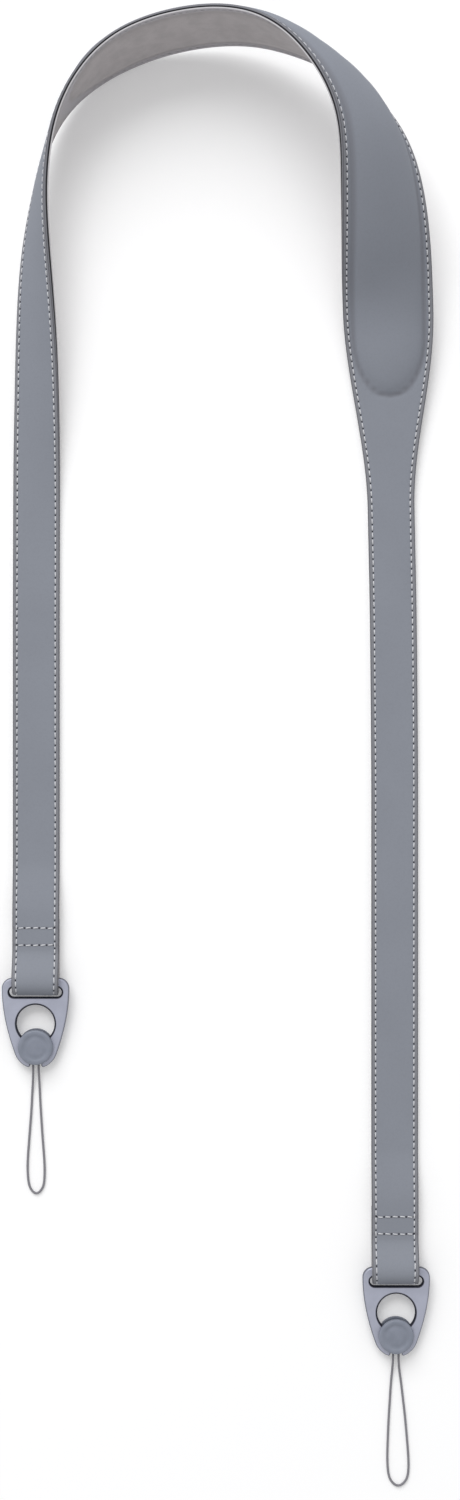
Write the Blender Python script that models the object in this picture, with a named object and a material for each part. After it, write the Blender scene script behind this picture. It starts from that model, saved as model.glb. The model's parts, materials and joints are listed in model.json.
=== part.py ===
"""Shoulder strap for a camera: a long leather strip with a padded middle, folded at each end round the
bar of a metal connector plate. Each plate carries a quick-release button in its keyhole, and each button
carries a loop of thin cord that goes through an eyelet of the camera.

The strap lies as it does on a table: both legs flat, the padded middle up on its lower edge.
Metres, +Z up. A position along the strap is a distance from the middle of the pad, minus to the left."""
import math

import bmesh
import bpy
import numpy as np
from mathutils import Vector

MM = 0.001

# Strap: a leather face over a suede lining
STRAP_WIDTH = 20.0 * MM
PAD_WIDTH = 38.5 * MM
WIDE_REACH = 98.0 * MM
NARROW_REACH = 184.0 * MM
LEATHER = 1.2 * MM
LINING = 0.8 * MM
GAP = 0.3 * MM
LEFT_REACH = 515.5 * MM
RIGHT_REACH = 511.5 * MM

# Foam core under the middle of the leather
FOAM_LENGTH = 270.0 * MM
FOAM_WIDTH = 30.6 * MM
FOAM_ROUND_END = 26.0 * MM
FOAM_RISE = 4.6 * MM
FOAM_CLEARANCE = 0.4 * MM
DOME_FLATNESS = 2.5
DOME_SHOULDER = 0.6
DOME_EDGE_SHARE = 0.93
DOME_CROWN_SHARE = 0.6
DOME_REACH_SHARE = 0.8

# Folded ends
BAR_CLEARANCE = 0.5 * MM
TAIL_LENGTH = 27.0 * MM
NEAR_ROW = 16.0 * MM
FAR_ROW = 23.3 * MM
CLOSING_LENGTH = 14.0 * MM
STEP_DOWN_LENGTH = 12.0 * MM

# Sewing thread
SEAM_INSET = 1.8 * MM
THREAD_WIDTH = 0.6 * MM
THREAD_HEIGHT = 0.4 * MM
THREAD_CLEARANCE = 0.45 * MM

# Connector plate, measured from the middle of its bar towards its tip
PLATE_THICKNESS = 2.5 * MM
PLATE_WIDTH = 28.8 * MM
PLATE_CHAMFER = 0.6 * MM
CORNER_RADIUS = 4.5 * MM
BAR_DEPTH = 4.0 * MM
SLOT_SIDE_PLAY = 1.2 * MM
FOLD_PLAY = 1.2 * MM
SEAT_DISTANCE = 27.6 * MM
KEYHOLE_TRAVEL = 10.0 * MM
TIP_RADIUS = 9.4 * MM
TIP_ARC_START = 20.0
TIP_ROUND = 0.9 * MM

# Quick-release button
BUTTON_DIAMETER = 15.0 * MM
HOLE_CLEARANCE = 0.6 * MM
CAP_THICKNESS = 2.0 * MM
FLANGE_THICKNESS = 1.6 * MM
NECK_DIAMETER = 6.0 * MM
NECK_WALL = 0.8 * MM
DISH_OUTER = 11.6 * MM
DISH_INNER = 6.6 * MM
DISH_DEPTH = 0.35 * MM
DISH_RIM_DROP = 0.05 * MM
DISH_MIDDLE_DROP = 0.15 * MM
EDGE_ROUND = 0.4 * MM
KNOT_ROUND = 0.5 * MM

# Cord loop
CORD_DIAMETER = 1.0 * MM
STRAND_SPACING = 2.4 * MM
STRAND_PLAY = 0.7 * MM
CORD_POINT_SPACING = 3.0 * MM

# How the strap lies: distance from the middle of the pad, x and y of its centre line, lift of its lower
# edge, lean of its width from lying flat (0) to standing on edge (90), and bow of its width
STATIONS = [
    (-360, -83.2, 56.0, 0.0, 0, 0.0),
    (-320, -83.1, 96.0, 0.0, 0, 0.0),
    (-300, -82.9, 115.9, 0.0, 4, 0.0),
    (-270, -82.3, 145.4, 1.5, 16, 0.0),
    (-240, -81.9, 174.8, 3.7, 29, 0.0),
    (-200, -81.1, 213.6, 6.1, 54, 0.2),
    (-170, -78.3, 242.6, 6.2, 75, 0.5),
    (-140, -69.7, 270.5, 2.8, 88, 0.5),
    (-115, -53.0, 289.0, 0.3, 96, 0.2),
    (-80, -20.9, 301.8, 2.3, 98, 0.0),
    (-50, 8.9, 301.4, 7.0, 93, 0.2),
    (-20, 34.0, 287.9, 13.2, 77, 1.3),
    (10, 52.8, 265.8, 19.7, 53, 2.5),
    (40, 61.7, 239.4, 22.2, 28, 2.7),
    (65, 65.0, 216.7, 17.7, 13, 1.6),
    (90, 66.9, 194.9, 10.2, 1, -0.4),
    (115, 68.2, 171.2, 5.6, -5, -0.4),
    (145, 68.7, 142.2, 2.7, -5, -0.1),
    (180, 69.1, 108.0, 0.7, -2, 0.0),
    (220, 69.9, 68.4, 0.0, 0, 0.0),
    (260, 70.4, 28.4, 0.0, 0, 0.0),
    (300, 70.7, -11.6, 0.0, 0, 0.0),
]
RIGHT_PLATE_SHIFT = 0.4 * MM

# Routes of the cord loops: x and y from the middle of the button, and height above the table
LEFT_CORD_ROUTE = [
    (-1.2, -2.2, 3.4), (-1.2, -6.0, 3.2), (-1.2, -10.0, 2.8), (-1.4, -14.5, 1.5), (-1.8, -20.5, 0.6),
    (-2.2, -28.0, 0.55), (-2.8, -36.0, 0.55), (-3.4, -44.0, 0.55), (-3.8, -52.0, 0.55), (-3.5, -57.5, 0.55),
    (-2.1, -61.9, 0.55), (0.0, -63.4, 0.55), (2.1, -61.9, 0.55), (3.4, -57.5, 0.55), (3.5, -52.0, 0.55),
    (3.0, -44.0, 0.55), (2.4, -36.0, 0.55), (1.9, -28.0, 0.55), (1.5, -20.5, 0.6), (1.3, -14.5, 1.5),
    (1.2, -10.0, 2.8), (1.2, -6.0, 3.2), (1.2, -2.2, 3.4),
]
RIGHT_CORD_ROUTE = [
    (-1.2, -2.2, 3.4), (-1.2, -6.0, 3.2), (-1.2, -10.0, 2.8), (-1.4, -14.5, 1.5), (-1.9, -20.5, 0.6),
    (-2.4, -28.0, 0.55), (-2.9, -36.0, 0.55), (-3.3, -45.0, 0.55), (-3.5, -53.0, 0.55), (-3.2, -59.0, 0.55),
    (-1.5, -63.8, 0.55), (1.2, -65.4, 0.55), (4.0, -63.7, 0.55), (5.5, -59.0, 0.55), (5.5, -53.0, 0.55),
    (4.9, -45.0, 0.55), (4.1, -36.0, 0.55), (3.2, -28.0, 0.55), (2.3, -20.5, 0.6), (1.5, -14.5, 1.5),
    (1.2, -10.0, 2.8), (1.2, -6.0, 3.2), (1.2, -2.2, 3.4),
]

# Sizes that follow from the ones above
STRAP_THICKNESS = LINING + GAP + LEATHER
BAR_HALF_DIAGONAL = max(
    math.hypot(BAR_DEPTH / 2 - PLATE_CHAMFER, PLATE_THICKNESS / 2),
    math.hypot(BAR_DEPTH / 2, PLATE_THICKNESS / 2 - PLATE_CHAMFER),
)
LOOP_RADIUS = BAR_HALF_DIAGONAL + BAR_CLEARANCE
FOLD_RADIUS = LOOP_RADIUS + STRAP_THICKNESS
BAR_HEIGHT = FOLD_RADIUS
SLOT_LENGTH = STRAP_WIDTH + 2 * SLOT_SIDE_PLAY
SLOT_FAR_SIDE = FOLD_RADIUS + FOLD_PLAY
HOLE_DISTANCE = SEAT_DISTANCE - KEYHOLE_TRAVEL
HOLE_RADIUS = BUTTON_DIAMETER / 2 + HOLE_CLEARANCE
SEAT_RADIUS = NECK_DIAMETER / 2 + GAP
NOTCH_HALF = STRAND_SPACING / 2 + CORD_DIAMETER / 2 + STRAND_PLAY
LAID_ON_TAIL = STRAP_THICKNESS + GAP

# Mesh steps
CURVE_STEP = 12.0 * MM
CLOSING_SECTIONS = 7
STEP_DOWN_SECTIONS = 5
FOAM_END_SHARES = (0.2, 0.5, 0.75, 0.9, 1.0)
PLATE_SIDE_POINTS = 8
CORD_BEVEL_STEPS = 2
FOLD_STEPS = 8
BUTTON_SEGMENTS = 28
ARC_STEP = 12.0


def ease(t):
    """Runs smoothly from 0 to 1 while t does, and stays level outside that."""
    t = np.clip(t, 0.0, 1.0)
    return t * t * (3.0 - 2.0 * t)


def smooth_curve(knots, values, where):
    """Natural cubic spline through the values: slope and bend match at every knot."""
    step = np.diff(knots)
    slope = np.diff(values, axis=0) / step[:, None]
    count = len(knots)
    system = np.zeros((count, count))
    system[0, 0] = 1.0
    system[-1, -1] = 1.0
    change = np.zeros(values.shape)
    for k in range(1, count - 1):
        system[k, k - 1:k + 2] = step[k - 1], 2.0 * (step[k - 1] + step[k]), step[k]
        change[k] = 6.0 * (slope[k] - slope[k - 1])
    bend = np.linalg.solve(system, change)
    k = np.clip(np.searchsorted(knots, where) - 1, 0, count - 2)
    t = (where - knots[k])[:, None]
    length = step[k][:, None]
    first = slope[k] - length * (2.0 * bend[k] + bend[k + 1]) / 6.0
    return values[k] + t * (first + t * (bend[k] / 2.0 + t * (bend[k + 1] - bend[k]) / (6.0 * length)))


def half_width(distance):
    """Half the strap's width: wide along the pad, tapering in a long S to the narrow legs."""
    taper = ease((np.abs(distance) - WIDE_REACH) / (NARROW_REACH - WIDE_REACH))
    return (PAD_WIDTH + (STRAP_WIDTH - PAD_WIDTH) * taper) / 2.0


def foam_half_width(distance):
    """Half the foam's width: straight sides between two half-elliptical ends."""
    into_end = np.clip((np.abs(distance) - FOAM_LENGTH / 2 + FOAM_ROUND_END) / FOAM_ROUND_END, 0.0, 1.0)
    return FOAM_WIDTH / 2 * np.sqrt(1.0 - into_end ** 2)


def pad_rise(distance, side):
    """Height of the raised oval over the strap's flat thickness."""
    half = foam_half_width(distance)
    share = np.clip(np.abs(side) / np.maximum(half, 1e-6), 0.0, 1.0)
    return FOAM_RISE * half / (FOAM_WIDTH / 2) * (1.0 - share ** DOME_FLATNESS) ** DOME_SHOULDER


def rise_over_tail(distance):
    """Height of the top layer's underside where it lies over its own folded tail."""
    from_bar = np.minimum(distance + LEFT_REACH, RIGHT_REACH - distance)
    above_loop = BAR_HEIGHT + LOOP_RADIUS - LAID_ON_TAIL
    closing = above_loop * (1.0 - ease(from_bar / CLOSING_LENGTH))
    step_down = LAID_ON_TAIL * (1.0 - ease((from_bar - TAIL_LENGTH - LEATHER) / STEP_DOWN_LENGTH))
    return closing + step_down


def section_distances():
    """Places of the cross-sections of the top layer: close together where the shape changes."""
    near_bar = np.concatenate([
        np.linspace(0.0, CLOSING_LENGTH, CLOSING_SECTIONS),
        TAIL_LENGTH + LEATHER + np.linspace(0.0, STEP_DOWN_LENGTH, STEP_DOWN_SECTIONS),
    ])
    foam_end = FOAM_LENGTH / 2 - FOAM_ROUND_END + FOAM_ROUND_END * np.array(FOAM_END_SHARES)
    first = STATIONS[1][0] * MM
    last = STATIONS[-3][0] * MM
    curved = np.linspace(first, last, int(round((last - first) / CURVE_STEP)) + 1)
    to_foam_end = np.min(np.abs(np.abs(curved)[:, None] - foam_end[None, :]), axis=1)
    return np.unique(np.concatenate([
        near_bar - LEFT_REACH, curved[to_foam_end > CURVE_STEP / 5], foam_end, -foam_end,
        RIGHT_REACH - near_bar,
    ]))


def top_layer(distance):
    """Centre of the lining's underside, the direction across the strap, the direction out through the
    leather, and the bow of the width, at each distance."""
    stations = np.array(STATIONS, float)
    knots = stations[:, 0] * MM
    values = stations[:, 1:] * MM
    values[:, 3] = np.radians(stations[:, 4])
    inside = np.clip(distance, knots[0], knots[-1])
    x, y, lift, lean, bow = smooth_curve(knots, values, inside).T
    y = y + np.where(distance < knots[0], 1.0, -1.0) * (distance - inside)
    rise = lift + half_width(distance) * np.sin(lean) + STRAP_THICKNESS * np.maximum(0.0, -np.cos(lean))
    centre = np.stack([x, y, rise + rise_over_tail(distance)], axis=1)
    along = np.gradient(centre, distance, axis=0)
    along[0] = 0.0, 1.0, 0.0
    along[-1] = 0.0, -1.0, 0.0
    along /= np.linalg.norm(along, axis=1)[:, None]
    level = np.stack([along[:, 1], -along[:, 0], 0.0 * x], axis=1)
    level /= np.linalg.norm(level, axis=1)[:, None]
    upward = np.cross(level, along)
    across = np.cos(lean)[:, None] * level + np.sin(lean)[:, None] * upward
    return centre, across, np.cross(across, along), bow


def whole_strip():
    """Sections of the whole strip in order: left tail, left fold, top layer, right fold, right tail."""
    distance = section_distances()
    centre, across, out, bow = top_layer(distance)
    turn = np.linspace(-90.0, 90.0, FOLD_STEPS + 1)[:-1]
    lengths, centres, acrosses, outs = [], [], [], []
    for end, side in ((0, 1.0), (-1, -1.0)):
        bar_x, bar_y = centre[end, 0], centre[end, 1]
        angles = np.radians(turn)
        outward = np.stack([0.0 * angles, -np.cos(angles), np.sin(angles)], axis=1)
        fold = np.array([bar_x, bar_y, BAR_HEIGHT]) + LOOP_RADIUS * outward
        tail = np.array([[bar_x, bar_y + TAIL_LENGTH, BAR_HEIGHT - LOOP_RADIUS]])
        centres.append(np.concatenate([tail, fold]))
        outs.append(np.concatenate([[[0.0, 0.0, -1.0]], outward]))
        acrosses.append(np.tile([side, 0.0, 0.0], (len(turn) + 1, 1)))
        lengths.append(np.full(len(turn) + 1, distance[end]))
    parts = (
        [lengths[0], distance, lengths[1][::-1]],
        [centres[0], centre, centres[1][::-1]],
        [acrosses[0], across, acrosses[1][::-1]],
        [outs[0], out, outs[1][::-1]],
        [0.0 * lengths[0], bow, 0.0 * lengths[1]],
    )
    return [np.concatenate(part) for part in parts]


def leather_columns(distance):
    """Places across the strap where the leather's section has a corner."""
    edge = half_width(distance)
    inner = np.minimum(FOAM_WIDTH / 2, DOME_REACH_SHARE * edge)
    half_shares = (DOME_CROWN_SHARE, DOME_EDGE_SHARE, 1.0)
    shares = np.array([-share for share in half_shares[::-1]] + [0.0] + list(half_shares))
    return np.concatenate([-edge[:, None], inner[:, None] * shares, edge[:, None]], axis=1)


def leather_rise(distance, columns):
    """Height of the raised oval at any place across the strap, as the leather's flat facets follow it."""
    corners = leather_columns(distance)
    rise = pad_rise(distance[:, None], corners)
    return np.stack([np.interp(*row) for row in zip(columns, corners, rise)])


def strip_points(strip, columns, height):
    """Points at the given places across the strip and heights over the lining's underside."""
    distance, centre, across, out, bow = strip
    bowed = bow[:, None] * (1.0 - (columns / half_width(distance)[:, None]) ** 2)
    outward = (height + bowed)[:, :, None] * out[:, None, :]
    return centre[:, None, :] + columns[:, :, None] * across[:, None, :] + outward


def material(name, colour, roughness, metallic=0.0):
    """Principled material of one colour."""
    made = bpy.data.materials.new(name)
    made.use_nodes = True
    shader = made.node_tree.nodes["Principled BSDF"]
    shader.inputs["Base Color"].default_value = (*colour, 1.0)
    shader.inputs["Roughness"].default_value = roughness
    shader.inputs["Metallic"].default_value = metallic
    return made


def add_object(name, bm, finish, parent):
    """Turns a bmesh into a named object with its faces pointing out."""
    bmesh.ops.recalc_face_normals(bm, faces=bm.faces)
    mesh = bpy.data.meshes.new(name)
    bm.to_mesh(mesh)
    bm.free()
    mesh.materials.append(finish)
    mesh.shade_smooth()
    mesh.set_sharp_from_angle(angle=math.radians(35))
    made = bpy.data.objects.new(name, mesh)
    bpy.context.collection.objects.link(made)
    made.parent = parent
    return made


def add_empty(name, location, parent):
    """Empty that carries the pieces of one moving body."""
    made = bpy.data.objects.new(name, None)
    made.location = location
    made.parent = parent
    bpy.context.collection.objects.link(made)
    return made


def loft(name, rings, finish, parent):
    """Skins a row of closed rings and caps both ends. A ring runs out along one face and back along the
    other, and both faces split into triangles the same way, so that layers that lie on each other twist
    alike."""
    bm = bmesh.new()
    rows = [[bm.verts.new(point) for point in ring] for ring in rings]
    for row, following in zip(rows, rows[1:]):
        for k in range(len(row)):
            after = (k + 1) % len(row)
            corners = [row[k], row[after], following[after], following[k]]
            first = 0 if 2 * k < len(row) - 1 else 1
            turned_corners = corners[first:] + corners[:first]
            bm.faces.new(turned_corners[:3])
            bm.faces.new([turned_corners[2], turned_corners[3], turned_corners[0]])
    bm.faces.new(rows[0])
    bm.faces.new(rows[-1])
    return add_object(name, bm, finish, parent)


def turned(name, profile, finish, parent):
    """Turns a profile of radius and height, from axis to axis, round the local Z axis."""
    bm = bmesh.new()
    points = [bm.verts.new((radius, 0.0, height)) for radius, height in profile]
    edges = [bm.edges.new(pair) for pair in zip(points, points[1:])]
    bmesh.ops.spin(bm, geom=points + edges, axis=(0, 0, 1), cent=(0, 0, 0),
                   angle=math.tau, steps=BUTTON_SEGMENTS, use_merge=True)
    bmesh.ops.remove_doubles(bm, verts=bm.verts, dist=0.01 * MM)
    return add_object(name, bm, finish, parent)


def make_leather(strip, finish, parent):
    """Leather face: flat strip that bulges over the foam."""
    columns = leather_columns(strip[0])
    under = LINING + GAP + pad_rise(strip[0][:, None], columns)
    bottom = strip_points(strip, columns, under)
    top = strip_points(strip, columns, under + LEATHER)
    rings = np.concatenate([bottom, top[:, ::-1]], axis=1)
    return loft("face_leather", rings, finish, parent)


def make_lining(strip, finish, parent):
    """Suede lining: flat strip of even thickness."""
    columns = np.delete(leather_columns(strip[0]), (1, -2), axis=1)
    bottom = strip_points(strip, columns, np.zeros(columns.shape))
    top = strip_points(strip, columns, np.full(columns.shape, LINING))
    rings = np.concatenate([bottom, top[:, ::-1]], axis=1)
    return loft("lining", rings, finish, parent)


def make_foam(strip, finish, parent):
    """Foam core: fills the raised oval between the lining and the leather."""
    inside = np.abs(strip[0]) < FOAM_LENGTH / 2 - FOAM_CLEARANCE
    core = [part[inside] for part in strip]
    shares = np.array([-DOME_EDGE_SHARE, -DOME_CROWN_SHARE, 0.0, DOME_CROWN_SHARE, DOME_EDGE_SHARE])
    columns = foam_half_width(core[0])[:, None] * shares
    rise = leather_rise(core[0], columns)
    bottom = strip_points(core, columns, np.full(columns.shape, LINING + GAP))
    top = strip_points(core, columns, LINING + GAP + rise - FOAM_CLEARANCE)
    rings = np.concatenate([bottom, top[:, ::-1]], axis=1)
    return loft("shoulder_pad_foam", rings, finish, parent)


def make_edge_thread(name, strip, side, finish, parent):
    """Row of sewing along one edge of the leather, from fold to fold."""
    skipped = 1 + FOLD_STEPS // 2
    seam = [part[skipped:len(part) - skipped] for part in strip]
    centre = side * (half_width(seam[0]) - SEAM_INSET)
    columns = centre[:, None] + THREAD_WIDTH / 2 * np.array([-1.0, 1.0, 0.0])
    height = STRAP_THICKNESS + THREAD_CLEARANCE + THREAD_HEIGHT * np.array([0.0, 0.0, 1.0])
    rings = strip_points(seam, columns, leather_rise(seam[0], columns) + height)
    return loft(name, rings, finish, parent)


def make_cross_thread(name, bar, from_bar, finish, parent):
    """Row of sewing across the strap that holds the folded tail."""
    reach = STRAP_WIDTH / 2 - SEAM_INSET - THREAD_WIDTH / 2 - GAP
    height = LAID_ON_TAIL + STRAP_THICKNESS + THREAD_CLEARANCE
    ends = []
    for x in (bar.x - reach, bar.x + reach):
        corners = ((-THREAD_WIDTH / 2, 0.0), (THREAD_WIDTH / 2, 0.0), (0.0, THREAD_HEIGHT))
        ends.append([(x, bar.y + from_bar + aside, height + above) for aside, above in corners])
    return loft(name, ends, finish, parent)


def arc(centre, radius, start, end):
    """Points along an arc; angles in degrees."""
    count = max(2, int(math.ceil(abs(end - start) / ARC_STEP)) + 1)
    angles = np.radians(np.linspace(start, end, count))
    return [(centre[0] + radius * math.cos(a), centre[1] + radius * math.sin(a)) for a in angles]


def plate_half_outline():
    """Right half of the plate's outline and keyhole, from the top's middle to the hole's top.
    Points are x and distance towards the tip."""
    half = PLATE_WIDTH / 2
    top = -BAR_DEPTH / 2
    points = [(0.0, top)] + arc((half - CORNER_RADIUS, top + CORNER_RADIUS), CORNER_RADIUS, -90, 0)
    turn = math.radians(TIP_ARC_START)
    join = (TIP_RADIUS * math.cos(turn), SEAT_DISTANCE + TIP_RADIUS * math.sin(turn))
    pull = (half, join[1] - (half - join[0]) / math.tan(turn))
    start = points[-1]
    for t in np.linspace(0.0, 1.0, PLATE_SIDE_POINTS)[1:-1]:
        weights = ((1 - t) ** 2, 2 * t * (1 - t), t * t)
        points.append(tuple(sum(w * p[k] for w, p in zip(weights, (start, pull, join))) for k in (0, 1)))
    round_x = NOTCH_HALF + TIP_ROUND
    round_rise = math.sqrt((TIP_RADIUS - TIP_ROUND) ** 2 - round_x ** 2)
    tip_end = math.degrees(math.atan2(round_rise, round_x))
    points += arc((0.0, SEAT_DISTANCE), TIP_RADIUS, TIP_ARC_START, tip_end)
    points += arc((round_x, SEAT_DISTANCE + round_rise), TIP_ROUND, tip_end, 180.0)[1:]
    points += arc((0.0, SEAT_DISTANCE), SEAT_RADIUS, math.degrees(math.acos(NOTCH_HALF / SEAT_RADIUS)), 0.0)
    hole_start = math.degrees(math.acos(SEAT_RADIUS / HOLE_RADIUS))
    points += arc((0.0, HOLE_DISTANCE), HOLE_RADIUS, hole_start, -90.0)
    return points


def slot_outline():
    """Round-ended slot beside the bar."""
    radius = (SLOT_FAR_SIDE - BAR_DEPTH / 2) / 2
    middle = BAR_DEPTH / 2 + radius
    reach = SLOT_LENGTH / 2 - radius
    return arc((reach, middle), radius, -90.0, 90.0) + arc((-reach, middle), radius, 90.0, 270.0)


def shifted(points, distance):
    """Closed outline moved sideways by a distance, to the left of its run when that is positive."""
    ring = np.array(points)
    before = ring - np.roll(ring, 1, axis=0)
    after = np.roll(ring, -1, axis=0) - ring
    normals = []
    for run in (before, after):
        run = run / np.linalg.norm(run, axis=1)[:, None]
        normals.append(np.stack([-run[:, 1], run[:, 0]], axis=1))
    middle = normals[0] + normals[1]
    middle /= np.linalg.norm(middle, axis=1)[:, None]
    cosine = np.sum(middle * normals[0], axis=1)
    return ring + middle * (distance / cosine)[:, None]


def make_plate(name, finish, parent):
    """Connector plate: flat, chamfered all round, with a slot for the strap and an open keyhole."""
    right = plate_half_outline()
    left = [(-x, t) for x, t in right[::-1]][1:-1]
    outlines = [np.array(right + left), np.array(slot_outline())]
    inward = (1.0, -1.0)
    levels = (
        (-PLATE_THICKNESS / 2, PLATE_CHAMFER),
        (-PLATE_THICKNESS / 2 + PLATE_CHAMFER, 0.0),
        (PLATE_THICKNESS / 2 - PLATE_CHAMFER, 0.0),
        (PLATE_THICKNESS / 2, PLATE_CHAMFER),
    )
    bm = bmesh.new()
    rims = {0: [], 3: []}
    for outline, turn in zip(outlines, inward):
        rows = []
        for height, inset in levels:
            ring = shifted(outline, turn * inset)
            rows.append([bm.verts.new((x, -t, height)) for x, t in ring])
        for row, following in zip(rows, rows[1:]):
            for k in range(len(row)):
                after = (k + 1) % len(row)
                bm.faces.new((row[k], row[after], following[after], following[k]))
        for level in rims:
            row = rows[level]
            rims[level] += [bm.edges.get((row[k], row[(k + 1) % len(row)])) for k in range(len(row))]
    for edges in rims.values():
        bmesh.ops.triangle_fill(bm, use_beauty=True, use_dissolve=False, edges=edges)
    return add_object(name, bm, finish, parent)


def make_button_cap(name, finish, parent):
    """Top disc of the button, with a dished ring round a flat middle."""
    low = PLATE_THICKNESS / 2 + GAP
    high = low + CAP_THICKNESS
    edge = BUTTON_DIAMETER / 2
    profile = (
        (0.0, low), (edge - EDGE_ROUND, low), (edge, low + EDGE_ROUND), (edge, high - 2 * EDGE_ROUND),
        (edge - EDGE_ROUND, high - EDGE_ROUND / 2), (edge - 2 * EDGE_ROUND, high),
        (DISH_OUTER / 2, high - DISH_RIM_DROP), (DISH_OUTER / 2 - EDGE_ROUND, high - DISH_DEPTH),
        (DISH_INNER / 2 + EDGE_ROUND, high - DISH_DEPTH), (DISH_INNER / 2, high - DISH_MIDDLE_DROP),
        (0.0, high - DISH_MIDDLE_DROP),
    )
    return turned(name, profile, finish, parent)


def make_button_base(name, finish, parent):
    """Lower flange of the button with its hollow neck, which is open at the front for the cord."""
    high = -PLATE_THICKNESS / 2 - GAP
    low = high - FLANGE_THICKNESS
    edge = BUTTON_DIAMETER / 2
    neck = NECK_DIAMETER / 2
    neck_top = PLATE_THICKNESS / 2
    floor = -CORD_DIAMETER / 2 - GAP
    profile = (
        (0.0, low), (edge - EDGE_ROUND, low), (edge, low + EDGE_ROUND), (edge, high - EDGE_ROUND),
        (edge - EDGE_ROUND, high), (neck, high), (neck, neck_top), (neck - NECK_WALL, neck_top),
        (neck - NECK_WALL, floor), (0.0, floor),
    )
    base = turned(name, profile, finish, parent)
    mouth = STRAND_SPACING + CORD_DIAMETER + 2 * GAP
    bm = bmesh.new()
    bmesh.ops.create_cube(bm, size=1.0)
    bmesh.ops.scale(bm, vec=(mouth, NECK_DIAMETER, PLATE_THICKNESS), verts=bm.verts)
    shift = Vector((0.0, -NECK_DIAMETER / 2, floor + PLATE_THICKNESS / 2))
    bmesh.ops.translate(bm, vec=shift, verts=bm.verts)
    cutter = add_object(name + "_mouth_cutter", bm, finish, parent)
    cutter.hide_render = True
    cutter.display_type = "WIRE"
    cut = base.modifiers.new("cord_mouth", "BOOLEAN")
    cut.operation = "DIFFERENCE"
    cut.solver = "EXACT"
    cut.object = cutter
    return base


def make_cord_knot(name, finish, parent):
    """Knot that keeps the two ends of the cord inside the neck."""
    radius = NECK_DIAMETER / 2 - NECK_WALL - GAP
    low = -CORD_DIAMETER / 2
    high = PLATE_THICKNESS / 2 - GAP
    profile = ((0.0, low), (radius - KNOT_ROUND, low), (radius, low + KNOT_ROUND),
               (radius, high - KNOT_ROUND), (radius - KNOT_ROUND, high), (0.0, high))
    return turned(name, profile, finish, parent)


def make_cord(name, route, button, finish, parent):
    """Cord loop: a round cord along a smooth curve through its route."""
    points = np.array(route) * MM + np.array([button.x, button.y, 0.0])
    run = np.concatenate([[0.0], np.cumsum(np.linalg.norm(np.diff(points, axis=0), axis=1))])
    count = int(round(run[-1] / CORD_POINT_SPACING)) + 1
    smooth = smooth_curve(run, points, np.linspace(0.0, run[-1], count))
    curve = bpy.data.curves.new(name, "CURVE")
    curve.dimensions = "3D"
    curve.bevel_depth = CORD_DIAMETER / 2
    curve.bevel_resolution = CORD_BEVEL_STEPS
    curve.use_fill_caps = True
    spline = curve.splines.new("POLY")
    spline.points.add(count - 1)
    for point, place in zip(spline.points, smooth):
        point.co = (*place, 1.0)
    curve.materials.append(finish)
    made = bpy.data.objects.new(name, curve)
    made.parent = parent
    bpy.context.collection.objects.link(made)
    return made


def make_end(side, bar, plate_shift, route, finishes, frame):
    """Connector plate, button and cord loop of one end, hanging on the folded strap."""
    make_cross_thread(side + "_near_cross_stitching", bar, NEAR_ROW, finishes["thread"], frame)
    make_cross_thread(side + "_far_cross_stitching", bar, FAR_ROW, finishes["thread"], frame)
    flange_under = PLATE_THICKNESS / 2 + GAP + FLANGE_THICKNESS
    reach = SEAT_DISTANCE + BUTTON_DIAMETER / 2
    droop = math.asin(BAR_HEIGHT / math.hypot(reach, flange_under)) - math.atan2(flange_under, reach)
    hinge = add_empty(side + "_connector_hinge", bar + Vector((plate_shift, 0.0, 0.0)), frame)
    hinge.rotation_euler = (droop, 0.0, 0.0)
    make_plate(side + "_connector_plate", finishes["plate"], hinge)
    seat = add_empty(side + "_button_seat", (0.0, -SEAT_DISTANCE, 0.0), hinge)
    make_button_cap(side + "_button_cap", finishes["button"], seat)
    make_button_base(side + "_button_base", finishes["button"], seat)
    make_cord_knot(side + "_cord_knot", finishes["cord"], seat)
    button = bar + Vector((plate_shift, -SEAT_DISTANCE * math.cos(droop), 0.0))
    make_cord(side + "_cord_loop", route, button, finishes["cord"], frame)


def settle_origin(frame):
    """Moves the whole strap so that the origin lies under the middle of its box, cord loops apart."""
    bpy.context.view_layer.update()
    graph = bpy.context.evaluated_depsgraph_get()
    corners = []
    for made in bpy.context.scene.objects:
        if made.type == "MESH" and not made.hide_render:
            seen = made.evaluated_get(graph)
            corners += [seen.matrix_world @ Vector(corner) for corner in seen.bound_box]
    corners = np.array(corners)
    middle = (corners.min(axis=0) + corners.max(axis=0)) / 2
    frame.location = (-middle[0], -middle[1], 0.0)


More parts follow.
